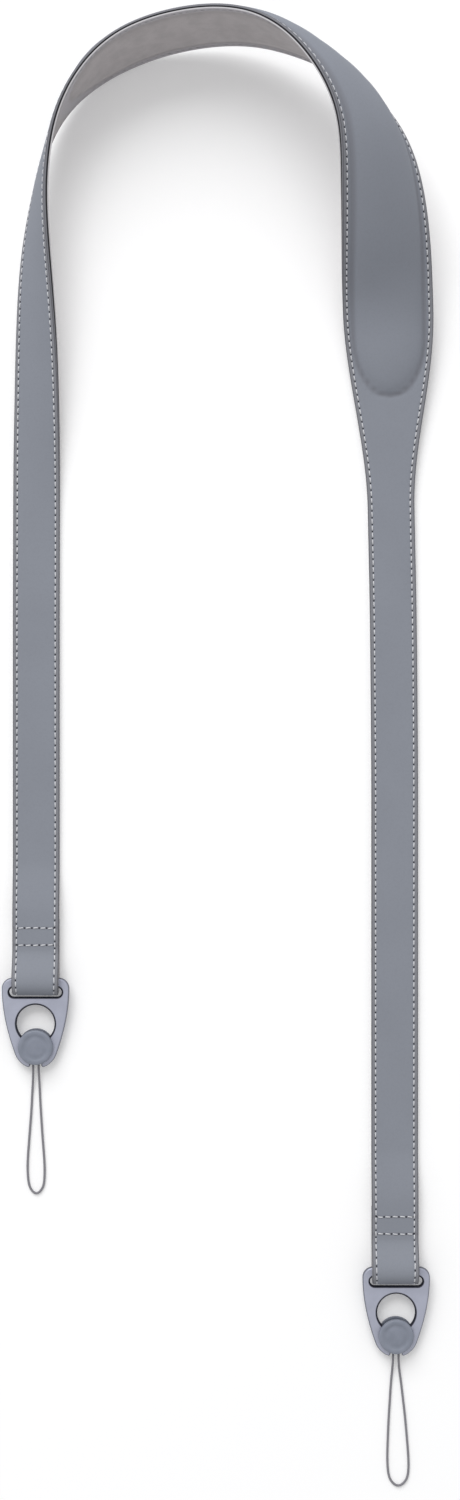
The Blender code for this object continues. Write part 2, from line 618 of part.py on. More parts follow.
def main():
    """Builds the strap and puts its origin on the table under its middle."""
    for old in list(bpy.data.objects):
        bpy.data.objects.remove(old)
    finishes = {
        "leather": material("leather", (0.25, 0.266, 0.305), 0.55),
        "lining": material("suede", (0.27, 0.25, 0.255), 0.95),
        "foam": material("foam", (0.12, 0.12, 0.13), 0.9),
        "thread": material("thread", (0.42, 0.43, 0.46), 0.7),
        "plate": material("anodised_plate", (0.37, 0.39, 0.48), 0.45, 0.6),
        "button": material("moulded_button", (0.22, 0.235, 0.29), 0.5),
        "cord": material("braided_cord", (0.16, 0.155, 0.17), 0.8),
    }
    frame = add_empty("strap_frame", (0.0, 0.0, 0.0), None)
    strip = whole_strip()
    make_leather(strip, finishes["leather"], frame)
    make_lining(strip, finishes["lining"], frame)
    make_foam(strip, finishes["foam"], frame)
    make_edge_thread("inner_edge_stitching", strip, 1.0, finishes["thread"], frame)
    make_edge_thread("outer_edge_stitching", strip, -1.0, finishes["thread"], frame)
    ends, _, _, _ = top_layer(section_distances())
    left_bar = Vector((ends[0, 0], ends[0, 1], BAR_HEIGHT))
    right_bar = Vector((ends[-1, 0], ends[-1, 1], BAR_HEIGHT))
    make_end("left", left_bar, 0.0, LEFT_CORD_ROUTE, finishes, frame)
    make_end("right", right_bar, RIGHT_PLATE_SHIFT, RIGHT_CORD_ROUTE, finishes, frame)
    settle_origin(frame)


main()
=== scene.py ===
"""Shoulder strap for a camera, in smooth grey leather with a suede lining, a padded middle, and a metal
connector plate with a quick-release button and a thin cord loop at each end.

Metres, +Z up. The file follows the strap as it is put together: the table and its lights, the leather
face, the lining, the foam, the sewing, the connector plates, the buttons and the cord loops."""

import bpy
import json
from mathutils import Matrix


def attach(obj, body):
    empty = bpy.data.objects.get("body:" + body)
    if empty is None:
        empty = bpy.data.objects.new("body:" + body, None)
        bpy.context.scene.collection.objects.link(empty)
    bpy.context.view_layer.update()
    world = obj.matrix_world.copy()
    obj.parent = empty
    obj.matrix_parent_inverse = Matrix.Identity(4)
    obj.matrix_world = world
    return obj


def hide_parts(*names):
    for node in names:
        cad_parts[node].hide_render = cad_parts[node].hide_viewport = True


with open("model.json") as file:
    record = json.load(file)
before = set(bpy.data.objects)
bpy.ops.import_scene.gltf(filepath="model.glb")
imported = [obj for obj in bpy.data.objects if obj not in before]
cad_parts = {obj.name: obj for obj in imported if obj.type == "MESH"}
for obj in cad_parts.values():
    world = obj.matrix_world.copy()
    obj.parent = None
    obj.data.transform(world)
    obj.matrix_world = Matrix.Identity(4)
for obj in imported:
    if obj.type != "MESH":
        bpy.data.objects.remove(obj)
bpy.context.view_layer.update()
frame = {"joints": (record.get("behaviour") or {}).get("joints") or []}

import json
import math

import bmesh
import bpy
import numpy as np

MM = 0.001

# Table, lights and camera. The strap lies on a plain white table under one large soft light, high at its
# upper left, with even light from all round. The camera looks straight down from one metre.
CAMERA_PLACE = (0.005448, -0.025361, 1.0)
FIELD_HEIGHT = 0.645
SENSOR_HEIGHT = 36.0
TABLE_SIZE = 30.0
TABLE_HEIGHT = -0.1 * MM
TABLE_COLOUR = (0.9, 0.9, 0.905)
TABLE_GLOW = 0.13
ROOM_LIGHT = 0.62
KEY_PLACE = (-1.0, 3.0, 2.7)
KEY_SIZE = 2.8
KEY_POWER = 121.0


def wire(tree, kind, inputs=(), output=0, **settings):
    """Adds one node: settings are its properties, inputs its sockets by name or number, each a plain value
    or another node's output. Gives back one of its outputs."""
    made = tree.nodes.new(kind)
    for name, value in settings.items():
        setattr(made, name, value)
    for socket, value in dict(inputs).items():
        if isinstance(value, bpy.types.NodeSocket):
            tree.links.new(value, made.inputs[socket])
        else:
            made.inputs[socket].default_value = value
    return made.outputs[output]


def calculate(tree, operation, first, second=0.0):
    """One sum, product or other calculation of two values."""
    return wire(tree, "ShaderNodeMath", {0: first, 1: second}, operation=operation)


def seen_directly(tree):
    """1 for what the camera, a mirror or a glass shows, and 0 for what only lights other things."""
    path = wire(tree, "ShaderNodeLightPath").node
    shown = calculate(tree, "MAXIMUM", path.outputs["Is Camera Ray"], path.outputs["Is Glossy Ray"])
    return calculate(tree, "MAXIMUM", shown, path.outputs["Is Transmission Ray"])


def show(made):
    """Puts an object into the scene."""
    bpy.context.scene.collection.objects.link(made)
    return made


camera = show(bpy.data.objects.new("camera", bpy.data.cameras.new("camera")))
camera.location = CAMERA_PLACE
camera.data.sensor_width = SENSOR_HEIGHT
camera.data.lens = SENSOR_HEIGHT / FIELD_HEIGHT * CAMERA_PLACE[2]
bpy.context.scene.camera = camera
bpy.context.scene.view_settings.view_transform = "Standard"

world = bpy.data.worlds.new("room")
world.use_nodes = True
world.node_tree.nodes.clear()
bpy.context.scene.world = world
WHITE = (1.0, 1.0, 1.0, 1.0)
room = wire(world.node_tree, "ShaderNodeMixShader", {
    0: seen_directly(world.node_tree),
    1: wire(world.node_tree, "ShaderNodeBackground", {"Color": WHITE, "Strength": ROOM_LIGHT}),
    2: wire(world.node_tree, "ShaderNodeBackground", {"Color": WHITE}),
})
world_end = world.node_tree.nodes.new("ShaderNodeOutputWorld")
world.node_tree.links.new(room, world_end.inputs["Surface"])

key = show(bpy.data.objects.new("key_light", bpy.data.lights.new("key_light", "AREA")))
key.data.size = KEY_SIZE
key.data.energy = KEY_POWER
key.location = KEY_PLACE
key.rotation_euler = (-key.location).to_track_quat("-Z", "Y").to_euler()
key.visible_camera = False

table_corners = TABLE_SIZE / 2 * np.array([(-1, -1, 0), (1, -1, 0), (1, 1, 0), (-1, 1, 0)])
table_mesh = bpy.data.meshes.new("table")
table_mesh.from_pydata((table_corners + [0.0, 0.0, TABLE_HEIGHT]).tolist(), [], [(0, 1, 2, 3)])
table_finish = bpy.data.materials.new("white_table")
table_finish.use_nodes = True
table_tree = table_finish.node_tree
table_tree.nodes.clear()
glow = calculate(table_tree, "MULTIPLY", seen_directly(table_tree), TABLE_GLOW)
table_shader = wire(table_tree, "ShaderNodeAddShader", {
    0: wire(table_tree, "ShaderNodeBsdfDiffuse", {"Color": (*TABLE_COLOUR, 1.0)}),
    1: wire(table_tree, "ShaderNodeEmission", {"Color": WHITE, "Strength": glow}),
})
table_end = table_tree.nodes.new("ShaderNodeOutputMaterial")
table_tree.links.new(table_shader, table_end.inputs["Surface"])
table_mesh.materials.append(table_finish)
show(bpy.data.objects.new("table", table_mesh))

# Leather face: one long strip of smooth grey leather, narrow at the legs and wide over the foam, folded at
# each end round a connector plate's bar. Its edges are rounded and painted, and it is pressed down round the
# foam and under the sewing, whose needle holes go through it. Painted shade darkens the grooves, the lines
# along the cross seams, the needle holes and the crevice against the lining.
STRAP_WIDTH = 20.0 * MM
PAD_WIDTH = 38.5 * MM
WIDE_REACH = 98.0 * MM
NARROW_REACH = 184.0 * MM
LEATHER = 1.2 * MM
LINING = 0.8 * MM
GAP = 0.3 * MM
STRAP_THICKNESS = LINING + GAP + LEATHER
LEFT_REACH = 515.5 * MM
RIGHT_REACH = 511.5 * MM
LOOP_RADIUS = 2.602 * MM
FOLD_RADIUS = LOOP_RADIUS + STRAP_THICKNESS
LAID_ON_TAIL = STRAP_THICKNESS + GAP
TAIL_LENGTH = 27.0 * MM
CLOSING_LENGTH = 14.0 * MM
STEP_DOWN_LENGTH = 24.0 * MM
FOLD_BULGE = 0.5 * MM
FOLD_PINCH = 0.3 * MM
FOLD_PINCH_REACH = 5.0 * MM
FOAM_LENGTH = 270.0 * MM
FOAM_WIDTH = 30.6 * MM
FOAM_ROUND_END = 26.0 * MM
FOAM_RISE = 4.6 * MM
DOME_FLATNESS = 2.5
DOME_SHOULDER = 0.8
GROOVE_DEPTH = 0.3 * MM
GROOVE_WIDTH = 1.3 * MM
SEAM_INSET = 1.8 * MM
STITCH_LENGTH = 3.0 * MM
ROWS_OF_A_STITCH = (0.0, 0.14, 0.36, 0.5, 0.64, 0.86)
SEAM_GROOVE = 0.12 * MM
SEAM_GROOVE_WIDTH = 0.5 * MM
HOLE_DEPTH = 0.45 * MM
HOLE_WIDTH = 0.4 * MM
EDGE_DROOP = 0.14 * MM
SURFACE_WAVE = 0.04 * MM
WAVE_ALONG = 9.1 * MM
WAVE_CHANGE = 23.0 * MM
WAVE_ACROSS = 6.0 * MM
PATH_STEP = 0.5 * MM
FOLD_STEPS = 30
LEATHER_LIGHT = (0.24, 0.256, 0.295)
LEATHER_DARK = (0.229, 0.244, 0.281)
LEATHER_BORDER = (0.212, 0.216, 0.238)
# darkens the grain's creases, and is painted shade in the grooves and along the cross seams
LEATHER_GRAIN_AND_CREASE_SHADE = (0.1, 0.09, 0.1)
LEATHER_PAINT = (0.21, 0.212, 0.235)
LEATHER_CORNER = (0.06, 0.06, 0.07)
# painted shade: near black colour put into the needle holes
NEEDLE_HOLE_SHADE = (0.018, 0.018, 0.025)
NEEDLE_HOLE_RADIUS = 0.42 * MM
CROSS_HOLE_RADIUS = 0.5 * MM
HOLE_CORE = 0.55
NEAR_ROW = 16.0 * MM
FAR_ROW = 23.3 * MM
CROSS_STITCHES = 5
CROSS_REACH = 7.9 * MM
CROSS_PITCH = 2 * CROSS_REACH / CROSS_STITCHES
# painted shade: black line along the crevice where leather and lining meet
LAYER_CREVICE_SHADE = (0.02, 0.02, 0.024)

# How the strap lies: distance from the middle of the pad, x and y of its centre line, lift of its lower
# edge, lean of its width from lying flat (0) to standing on edge (90), and bow of its width
STATIONS = [
    (-360, -83.2, 56.0, 0.0, 0, 0.0),
    (-320, -83.1, 96.0, 0.0, 0, 0.0),
    (-300, -82.9, 115.9, 0.0, 4, 0.0),
    (-270, -82.3, 145.4, 1.5, 16, 0.0),
    (-240, -81.9, 174.8, 3.7, 29, 0.0),
    (-200, -81.1, 213.6, 6.1, 54, 0.2),
    (-170, -78.3, 242.6, 6.2, 75, 0.5),
    (-140, -69.7, 270.5, 2.8, 88, 0.5),
    (-115, -53.0, 289.0, 0.3, 96, 0.2),
    (-80, -20.9, 301.8, 2.3, 98, 0.0),
    (-50, 8.9, 301.4, 7.0, 93, 0.2),
    (-20, 34.0, 287.9, 13.2, 77, 1.3),
    (10, 52.8, 265.8, 19.7, 53, 2.5),
    (40, 61.7, 239.4, 22.2, 28, 2.7),
    (65, 65.0, 216.7, 17.7, 13, 1.6),
    (90, 66.9, 194.9, 10.2, 1, -0.4),
    (115, 68.2, 171.2, 5.6, -5, -0.4),
    (145, 68.7, 142.2, 2.7, -5, -0.1),
    (180, 69.1, 108.0, 0.7, -2, 0.0),
    (220, 69.9, 68.4, 0.0, 0, 0.0),
    (260, 70.4, 28.4, 0.0, 0, 0.0),
    (300, 70.7, -11.6, 0.0, 0, 0.0),
]

joint_places = {joint["name"]: np.array(joint["pos_m"]) for joint in frame["joints"] if "pos_m" in joint}
left_hinge = joint_places["left_connector_swing"]
right_hinge = joint_places["right_connector_swing"]
BAR_HEIGHT = left_hinge[2]


def ease(t):
    """Runs smoothly from 0 to 1 while t does: 3 t squared less 2 t cubed."""
    t = np.clip(t, 0.0, 1.0)
    return t * t * (3.0 - 2.0 * t)


def bell(t):
    """1 where t is 0, falling off smoothly on both sides: e to the power of minus t squared."""
    return np.exp(-t * t)


def smooth_curve(knots, values, where):
    """Natural cubic spline through the values: slope and bend match at every knot."""
    step = np.diff(knots)
    slope = np.diff(values, axis=0) / step[:, None]
    system = np.eye(len(knots))
    change = np.zeros(values.shape)
    change[1:-1] = 6.0 * np.diff(slope, axis=0)
    for k in range(1, len(knots) - 1):
        system[k, k - 1:k + 2] = step[k - 1], 2.0 * (step[k - 1] + step[k]), step[k]
    bend = np.linalg.solve(system, change)
    k = np.clip(np.searchsorted(knots, where) - 1, 0, len(step) - 1)
    t = (where - knots[k])[:, None]
    length = step[k][:, None]
    first = slope[k] - length * (2.0 * bend[k] + bend[k + 1]) / 6.0
    return values[k] + t * (first + t * (bend[k] / 2.0 + t * (bend[k + 1] - bend[k]) / (6.0 * length)))


def unit(vectors):
    """Vectors, one in each row, brought to length 1."""
    return vectors / np.linalg.norm(vectors, axis=1)[:, None]


def run_along(line):
    """Length of a line of points from its start to each of them."""
    return np.concatenate([[0.0], np.cumsum(np.linalg.norm(np.diff(line, axis=0), axis=1))])


def half_width(distance):
    """Half the strap's width: wide along the pad, tapering in a long S to the narrow legs."""
    taper = ease((np.abs(distance) - WIDE_REACH) / (NARROW_REACH - WIDE_REACH))
    return (PAD_WIDTH + (STRAP_WIDTH - PAD_WIDTH) * taper) / 2.0


def top_layer(distance):
    """Centre of the lining's underside, the directions across the strap and out through the leather, and
    the bow, at each distance from the pad's middle. The height is the lift of the lower edge, half the
    width times the sine of the lean, and the rise over the folded tail."""
    stations = np.array(STATIONS, float)
    knots = stations[:, 0] * MM
    values = stations[:, 1:] * MM
    values[:, 3] = np.radians(stations[:, 4])
    inside = np.clip(distance, knots[0], knots[-1])
    x, y, lift, lean, bow = smooth_curve(knots, values, inside).T
    y = y + np.where(distance < knots[0], 1.0, -1.0) * (distance - inside)
    from_bar = np.minimum(distance + LEFT_REACH, RIGHT_REACH - distance)
    closing = (BAR_HEIGHT + LOOP_RADIUS - LAID_ON_TAIL) * (1.0 - ease(from_bar / CLOSING_LENGTH))
    step_down = LAID_ON_TAIL * (1.0 - ease((from_bar - TAIL_LENGTH - LEATHER) / STEP_DOWN_LENGTH))
    edge_on = half_width(distance) * np.sin(lean) + STRAP_THICKNESS * np.maximum(0.0, -np.cos(lean))
    centre = np.stack([x, y, lift + edge_on + closing + step_down], axis=1)
    along = np.gradient(centre, distance, axis=0)
    along[0] = 0.0, 1.0, 0.0
    along[-1] = 0.0, -1.0, 0.0
    along = unit(along)
    level = unit(np.stack([along[:, 1], -along[:, 0], 0.0 * x], axis=1))
    across = np.cos(lean)[:, None] * level + np.sin(lean)[:, None] * np.cross(level, along)
    return centre, across, np.cross(across, along), bow


def strap_table():
    """The whole strip in small steps, from the left tail's end round the left fold, along the top layer and
    round the right fold to the right tail's end. A fold is a half circle round the bar, a little looser
    at its nose."""
    distance = np.linspace(-LEFT_REACH, RIGHT_REACH, int((LEFT_REACH + RIGHT_REACH) / PATH_STEP))
    centre, across, out, bow = top_layer(distance)
    fold_run = TAIL_LENGTH + FOLD_RADIUS * math.pi
    runs = [fold_run + distance + LEFT_REACH]
    parts = [(centre, across, out, bow, distance)]
    turn = np.radians(np.linspace(-90.0, 90.0, FOLD_STEPS + 1)[:-1])
    outward = np.stack([0.0 * turn, -np.cos(turn), np.sin(turn)], axis=1)
    for end, side in ((0, 1.0), (-1, -1.0)):
        bar = np.array([centre[end, 0], centre[end, 1], BAR_HEIGHT])
        tail = bar + np.array([[0.0, TAIL_LENGTH, -LOOP_RADIUS]])
        rows = (
            np.concatenate([tail, bar + (LOOP_RADIUS + FOLD_BULGE * np.cos(turn[:, None]) ** 2) * outward]),
            np.tile([side, 0.0, 0.0], (FOLD_STEPS + 1, 1)),
            np.concatenate([[[0.0, 0.0, -1.0]], outward]),
            np.zeros(FOLD_STEPS + 1),
            np.full(FOLD_STEPS + 1, distance[end]),
        )
        run = np.concatenate([[0.0], TAIL_LENGTH + FOLD_RADIUS * (turn + math.pi / 2)])
        if end == 0:
            runs.insert(0, run)
            parts.insert(0, rows)
        else:
            runs.append(2 * fold_run + LEFT_REACH + RIGHT_REACH - run[::-1])
            parts.append(tuple(row[::-1] for row in rows))
    return [np.concatenate(runs)] + [np.concatenate(columns) for columns in zip(*parts)]


TABLE_OF_STRAP = strap_table()
STRAP_RUN = TABLE_OF_STRAP[0][-1]
FOLD_RUN = TAIL_LENGTH + FOLD_RADIUS * math.pi
STITCH_COUNT = int(round(STRAP_RUN / STITCH_LENGTH))
PITCH = STRAP_RUN / STITCH_COUNT
strap_rows = (np.arange(STITCH_COUNT)[:, None] + ROWS_OF_A_STITCH).ravel() * PITCH
strap_rows = np.append(strap_rows, STRAP_RUN)
first_distance, first_x, first_y = np.array(STATIONS[0][:3]) * MM
to_frame = left_hinge - [first_x, first_y - LEFT_REACH - first_distance, BAR_HEIGHT]


def strap_at(run):
    """The strap's centre, directions, bow, half width and distance at each run length from the left tail's
    end. Each fold is drawn in a little at the bar."""
    known, centre, across, out, bow, distance = TABLE_OF_STRAP
    at = {"run": run, "bow": np.interp(run, known, bow), "distance": np.interp(run, known, distance)}
    for name, table_rows in (("centre", centre), ("across", across), ("out", out)):
        at[name] = np.stack([np.interp(run, known, table_rows[:, k]) for k in range(3)], axis=1)
    at["across"] = unit(at["across"])
    at["out"] = unit(at["out"])
    from_fold = np.minimum(run, STRAP_RUN - run) - (TAIL_LENGTH + FOLD_RUN) / 2
    at["half"] = half_width(at["distance"]) - FOLD_PINCH * bell(from_fold / FOLD_PINCH_REACH)
    return at


def beside(line, aside, upward, wide, high):
    """Points off a line: each of its own, plus wide times the way aside and high times the way up."""
    return line[..., None, :] + wide[..., None] * aside[..., None, :] + high[..., None] * upward[..., None, :]


def on_strap(at, side, height):
    """Points at places across the strip and heights over the lining's underside. A bowed strip stands
    higher in its middle, by the bow times one less the square of the share across."""
    bowed = height + at["bow"][:, None] * (1.0 - (side / at["half"][:, None]) ** 2)
    return to_frame + beside(at["centre"], at["across"], at["out"], side, bowed)


def dome(distance, side):
    """Rise of the leather over the foam, and the distance to the foam's outline, minus inside it. The level
    is 0 on the middle line and 1 on an outline of straight sides and half-elliptical ends, and the rise
    falls from the middle with a power of the level."""
    end = np.maximum(0.0, (np.abs(distance) - FOAM_LENGTH / 2) / FOAM_ROUND_END + 1.0)
    share = side / (FOAM_WIDTH / 2)
    level = np.sqrt(end ** 2 + share ** 2) + 1e-9
    steepness = np.sqrt((end / FOAM_ROUND_END) ** 2 + (share / (FOAM_WIDTH / 2)) ** 2) / level
    rise = FOAM_RISE * (1.0 - np.minimum(level, 1.0) ** DOME_FLATNESS) ** DOME_SHOULDER
    return rise, (level - 1.0) / (steepness + 1e-9)


def to_needle_hole(run, side):
    """Distance along the strap to the nearest needle hole. The two edges' holes are half a stitch apart."""
    phase = run / PITCH - np.where(side < 0.0, 0.5, 0.0)
    return np.abs(phase - np.round(phase)) * PITCH


def sides_across(at, insets, shares):
    """Places across the strip: at the given insets from each edge, and at shares of the way from the middle
    line to the last of them on both sides."""
    half = at["half"][:, None]
    inset = np.array(insets)
    both = np.concatenate([-np.array(shares)[::-1], [0.0], shares])
    return np.concatenate([inset - half, (half - inset[-1]) * both, half - inset[::-1]], axis=1)


def grid_faces(rows, ring, copies=1):
    """Four-cornered faces of closed rings in a row, for a number of like pieces, and the row and ring
    numbers of their corners, which run on past the last point of a ring instead of starting again."""
    row, place = np.meshgrid(np.arange(rows - 1), np.arange(ring), indexing="ij")
    corner_rows = np.stack([row, row, row + 1, row + 1], axis=-1).reshape(-1, 4)
    corner_places = np.stack([place, place + 1, place + 1, place], axis=-1).reshape(-1, 4)
    first = corner_rows * ring + corner_places % ring
    start = np.arange(copies)[:, None, None] * rows * ring
    faces = (start + first).reshape(-1, 4)
    return faces, np.tile(corner_rows, (copies, 1)), np.tile(corner_places, (copies, 1))


def end_faces(rows, ring, copies=1):
    """The flat faces that close the first and last ring of each piece."""
    first = np.arange(ring)[None, ::-1]
    last = np.arange(ring)[None, :] + (rows - 1) * ring
    start = np.arange(copies)[:, None] * rows * ring
    return np.concatenate([start + first, start + last])


def closed_faces(rows, ring, copies=1):
    """All the faces of a row of rings with its two ends closed."""
    return [grid_faces(rows, ring, copies)[0], end_faces(rows, ring, copies)]


def make_piece(name, points, faces, finish, body, replaced, values=(), uv=None, crease=None):
    """Puts points and faces into a mesh with its faces outward, and ties the piece to the frame. Values are
    numbers on the points by name, uv a pair for each corner, and crease the angle that stays sharp."""
    mesh = bpy.data.meshes.new(name)
    points = points.reshape(-1, 3)
    corners = np.concatenate([face.ravel() for face in faces])
    counts = np.concatenate([np.full(len(face), face.shape[1]) for face in faces])
    mesh.vertices.add(len(points))
    mesh.vertices.foreach_set("co", points.astype(np.float32).ravel())
    mesh.loops.add(len(corners))
    mesh.loops.foreach_set("vertex_index", corners.astype(np.int32))
    mesh.polygons.add(len(counts))
    mesh.polygons.foreach_set("loop_start", (np.cumsum(counts) - counts).astype(np.int32))
    mesh.update(calc_edges=True)
    for label, numbers in dict(values).items():
        layer = mesh.attributes.new(label, "FLOAT", "POINT")
        layer.data.foreach_set("value", numbers.astype(np.float32).ravel())
    if uv is not None:
        layer = mesh.uv_layers.new(name="run_and_turn")
        spare = np.zeros((len(corners) - len(uv), 2))
        layer.uv.foreach_set("vector", np.concatenate([uv, spare]).astype(np.float32).ravel())
    outward = bmesh.new()
    outward.from_mesh(mesh)
    bmesh.ops.recalc_face_normals(outward, faces=outward.faces)
    outward.to_mesh(mesh)
    outward.free()
    mesh.shade_smooth()
    if crease:
        mesh.set_sharp_from_angle(angle=math.radians(crease))
    mesh.materials.append(finish)
    made = show(bpy.data.objects.new(name, mesh))
    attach(made, body)
    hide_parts(*replaced)
    return made


def new_finish(name, colour, roughness, **constants):
    """A Principled material. Constants are its other sockets, with _ for the spaces in their names."""
    finish = bpy.data.materials.new(name)
    finish.use_nodes = True
    shader = finish.node_tree.nodes["Principled BSDF"]
    sockets = {"Base Color": (*colour, 1.0), "Roughness": roughness}
    sockets.update({socket.replace("_", " "): value for socket, value in constants.items()})
    for socket, value in sockets.items():
        shader.inputs[socket].default_value = value
    return finish, finish.node_tree


def feed(tree, socket, value):
    """Gives one of the material's sockets a pattern."""
    tree.links.new(value, tree.nodes["Principled BSDF"].inputs[socket])


def tint(tree, share, colour, other):
    """Mixes two colours, either of them plain or from a node."""
    inputs = {0: share}
    for socket, value in ((6, colour), (7, other)):
        inputs[socket] = value if isinstance(value, bpy.types.NodeSocket) else (*value, 1.0)
    return wire(tree, "ShaderNodeMix", inputs, output=2, data_type="RGBA")


def spread(tree, value, low, high, to_low=0.0, to_high=1.0):
    """Maps a value's range onto another, held at both ends."""
    return wire(tree, "ShaderNodeMapRange", {0: value, 1: low, 2: high, 3: to_low, 4: to_high})


def stained(tree, colour, *layers):
    """A colour with others laid over it. Each layer is its colour, a value, the low and high end of the
    value's range and, unless they are 0 and 1, the layer's shares there."""
    for other, value, *ends in layers:
        colour = tint(tree, spread(tree, value, *ends), colour, other)
    return colour


def mottle(tree, size, detail=2.0):
    """Soft cloudy pattern of the given size on the object, from 0 to 1."""
    place = wire(tree, "ShaderNodeTexCoord", output="Object")
    return wire(tree, "ShaderNodeTexNoise", {"Vector": place, "Scale": 1.0 / size, "Detail": detail})


def pebbles(tree, size):
    """Rounded cells of the given size on the object: 0 in the middle of a cell, more towards its rim."""
    place = wire(tree, "ShaderNodeTexCoord", output="Object")
    return wire(tree, "ShaderNodeTexVoronoi", {"Vector": place, "Scale": 1.0 / size, "Smoothness": 1.0},
                feature="SMOOTH_F1")


def raise_surface(tree, height, depth, strength=1.0):
    """Lets a height from 0 to 1 stand out of the surface by a real depth."""
    bump = {"Height": height, "Distance": depth, "Strength": strength}
    feed(tree, "Normal", wire(tree, "ShaderNodeBump", bump))


def measure(tree, name):
    """A number that the mesh carries on its points."""
    return wire(tree, "ShaderNodeAttribute", output="Fac", attribute_name=name)


def needle_holes(tree, phase, pitch, off_line, radius):
    """1 inside a seam's needle holes, which are round and lie on its line wherever the phase is whole. The
    distance to one is the root of the squares along and off the line."""
    from_whole = calculate(tree, "SUBTRACT", phase, calculate(tree, "ROUND", phase))
    along = calculate(tree, "MULTIPLY", from_whole, pitch)
    squares = calculate(tree, "ADD", calculate(tree, "MULTIPLY", along, along),
                        calculate(tree, "MULTIPLY", off_line, off_line))
    return spread(tree, calculate(tree, "SQRT", squares), HOLE_CORE * radius, radius, 1.0, 0.0)


def leather_relief(at, side):
    """Height of the leather's grain side over its flat place, and how far it is pressed in. It rises over
    the foam, sinks in a groove round it and under both seams, dips at each needle hole, rolls down towards
    the edges, and is nowhere quite flat."""
    run = at["run"][:, None]
    inset = at["half"][:, None] - np.abs(side)
    rise, to_outline = dome(at["distance"][:, None], side)
    from_seam = inset - SEAM_INSET
    hole = bell(from_seam / HOLE_WIDTH) * bell(to_needle_hole(run, side) / HOLE_WIDTH)
    roll = EDGE_DROOP * np.clip(1.0 - inset / SEAM_INSET, 0.0, 1.0) ** 2
    wave = np.sin(run / WAVE_ALONG + 2.0 * np.sin(run / WAVE_CHANGE) + side / WAVE_ACROSS)
    pressed = SEAM_GROOVE * bell(from_seam / SEAM_GROOVE_WIDTH)
    pressed += GROOVE_DEPTH * bell(to_outline / GROOVE_WIDTH)
    return rise - pressed - HOLE_DEPTH * hole - roll + SURFACE_WAVE * wave, pressed / GROOVE_DEPTH


def strip_ring(at, insets, shares, edge, under_shares):
    """Closed ring of places across a layer of the strap: one face at the given insets and shares, down one
    edge along its profile of inset and drop, back along the other face, and up the other edge."""
    upper = sides_across(at, insets, shares)
    lower = sides_across(at, insets[:1], under_shares)[:, ::-1]
    half = at["half"][:, None]
    inset, drop = np.array(edge).T
    side = np.concatenate([upper, half - inset, lower, inset[::-1] - half], axis=1)
    wall = 0.0 * half + drop
    share = np.concatenate([0.0 * upper, wall, 0.0 * lower + 1.0, wall[:, ::-1]], axis=1)
    return side, share


leather_finish, tree = new_finish("grey_leather", LEATHER_LIGHT, 0.7, Specular_IOR_Level=0.2)
grain = pebbles(tree, 0.75 * MM)
fine_grain = mottle(tree, 0.35 * MM, 4.0)
from_edge = measure(tree, "from_edge")
depth = measure(tree, "depth")
off_rows = [calculate(tree, "ABSOLUTE", calculate(tree, "SUBTRACT", measure(tree, "from_bar"), row))
            for row in (NEAR_ROW, FAR_ROW)]
off_row = calculate(tree, "MINIMUM", *off_rows)
edge_holes = needle_holes(tree, measure(tree, "stitch"), PITCH,
                          calculate(tree, "SUBTRACT", from_edge, SEAM_INSET), NEEDLE_HOLE_RADIUS)
cross_holes = needle_holes(tree, measure(tree, "cross_stitch"), CROSS_PITCH, off_row, CROSS_HOLE_RADIUS)
feed(tree, "Base Color", stained(
    tree, LEATHER_DARK,
    (LEATHER_LIGHT, mottle(tree, 30.0 * MM, 3.0), 0.3, 0.7),
    (LEATHER_GRAIN_AND_CREASE_SHADE, grain, 0.35, 0.75, 0.0, 0.05),
    (LEATHER_BORDER, from_edge, 1.3 * MM, 1.9 * MM, 1.0, 0.0),
    # painted shade: the groove round the foam and under the seams, and lines along the cross seams, are
    # darkened
    (LEATHER_GRAIN_AND_CREASE_SHADE, measure(tree, "groove"), 0.25, 1.0, 0.0, 0.3),
    (LEATHER_GRAIN_AND_CREASE_SHADE, off_row, 0.3 * MM, 0.9 * MM, 0.22, 0.0),
    # painted shade: the needle holes of both seams and the cross rows are coloured near black
    (NEEDLE_HOLE_SHADE, calculate(tree, "MAXIMUM", edge_holes, cross_holes), 0.0, 1.0),
    (LEATHER_CORNER, from_edge, 0.2 * MM, 0.5 * MM, 0.7, 0.0),
    (LEATHER_PAINT, depth, 0.1, 0.25),
    # painted shade: the leather's lower edge corner is coloured black, as the crevice against the lining
    (LAYER_CREVICE_SHADE, depth, 0.74, 0.9)))
feed(tree, "Roughness", spread(tree, fine_grain, 0.3, 0.7, 0.65, 0.75))
relief = calculate(tree, "SUBTRACT", calculate(tree, "MULTIPLY", fine_grain, 0.4), grain)
raise_surface(tree, relief, 0.02 * MM, 0.6)

LEATHER_INSETS = np.array([0.4, 1.0, 1.45, 1.8, 2.15, 2.7]) * MM
LEATHER_SHARES = (0.3, 0.52, 0.7, 0.82, 0.9, 0.95)
LEATHER_EDGE = [(0.17 * MM, 0.05), (0.02 * MM, 0.22), (0.02 * MM, 0.68), (0.32 * MM, 0.97)]
UNDER_SHARES = (0.4, 0.72, 0.9)
at_rows = strap_at(strap_rows)
side, share = strip_ring(at_rows, LEATHER_INSETS, LEATHER_SHARES, LEATHER_EDGE, UNDER_SHARES)
relief_height, groove = leather_relief(at_rows, side)
under_rise = dome(at_rows["distance"][:, None], side)[0]
top_height = STRAP_THICKNESS + relief_height
under_height = LINING + GAP + under_rise
height = top_height + share * (under_height - top_height)
run = at_rows["run"][:, None]
make_piece(
    "leather_face", on_strap(at_rows, side, height), closed_faces(*side.shape), leather_finish,
    "strap", ["face_leather"],
    {"from_edge": at_rows["half"][:, None] - np.abs(side), "depth": share, "groove": groove,
     "stitch": run / PITCH - 0.5 * (side < 0.0),
     "cross_stitch": (side + CROSS_REACH) / CROSS_PITCH,
     "from_bar": np.minimum(run, STRAP_RUN - run) - FOLD_RUN + 0.0 * side})
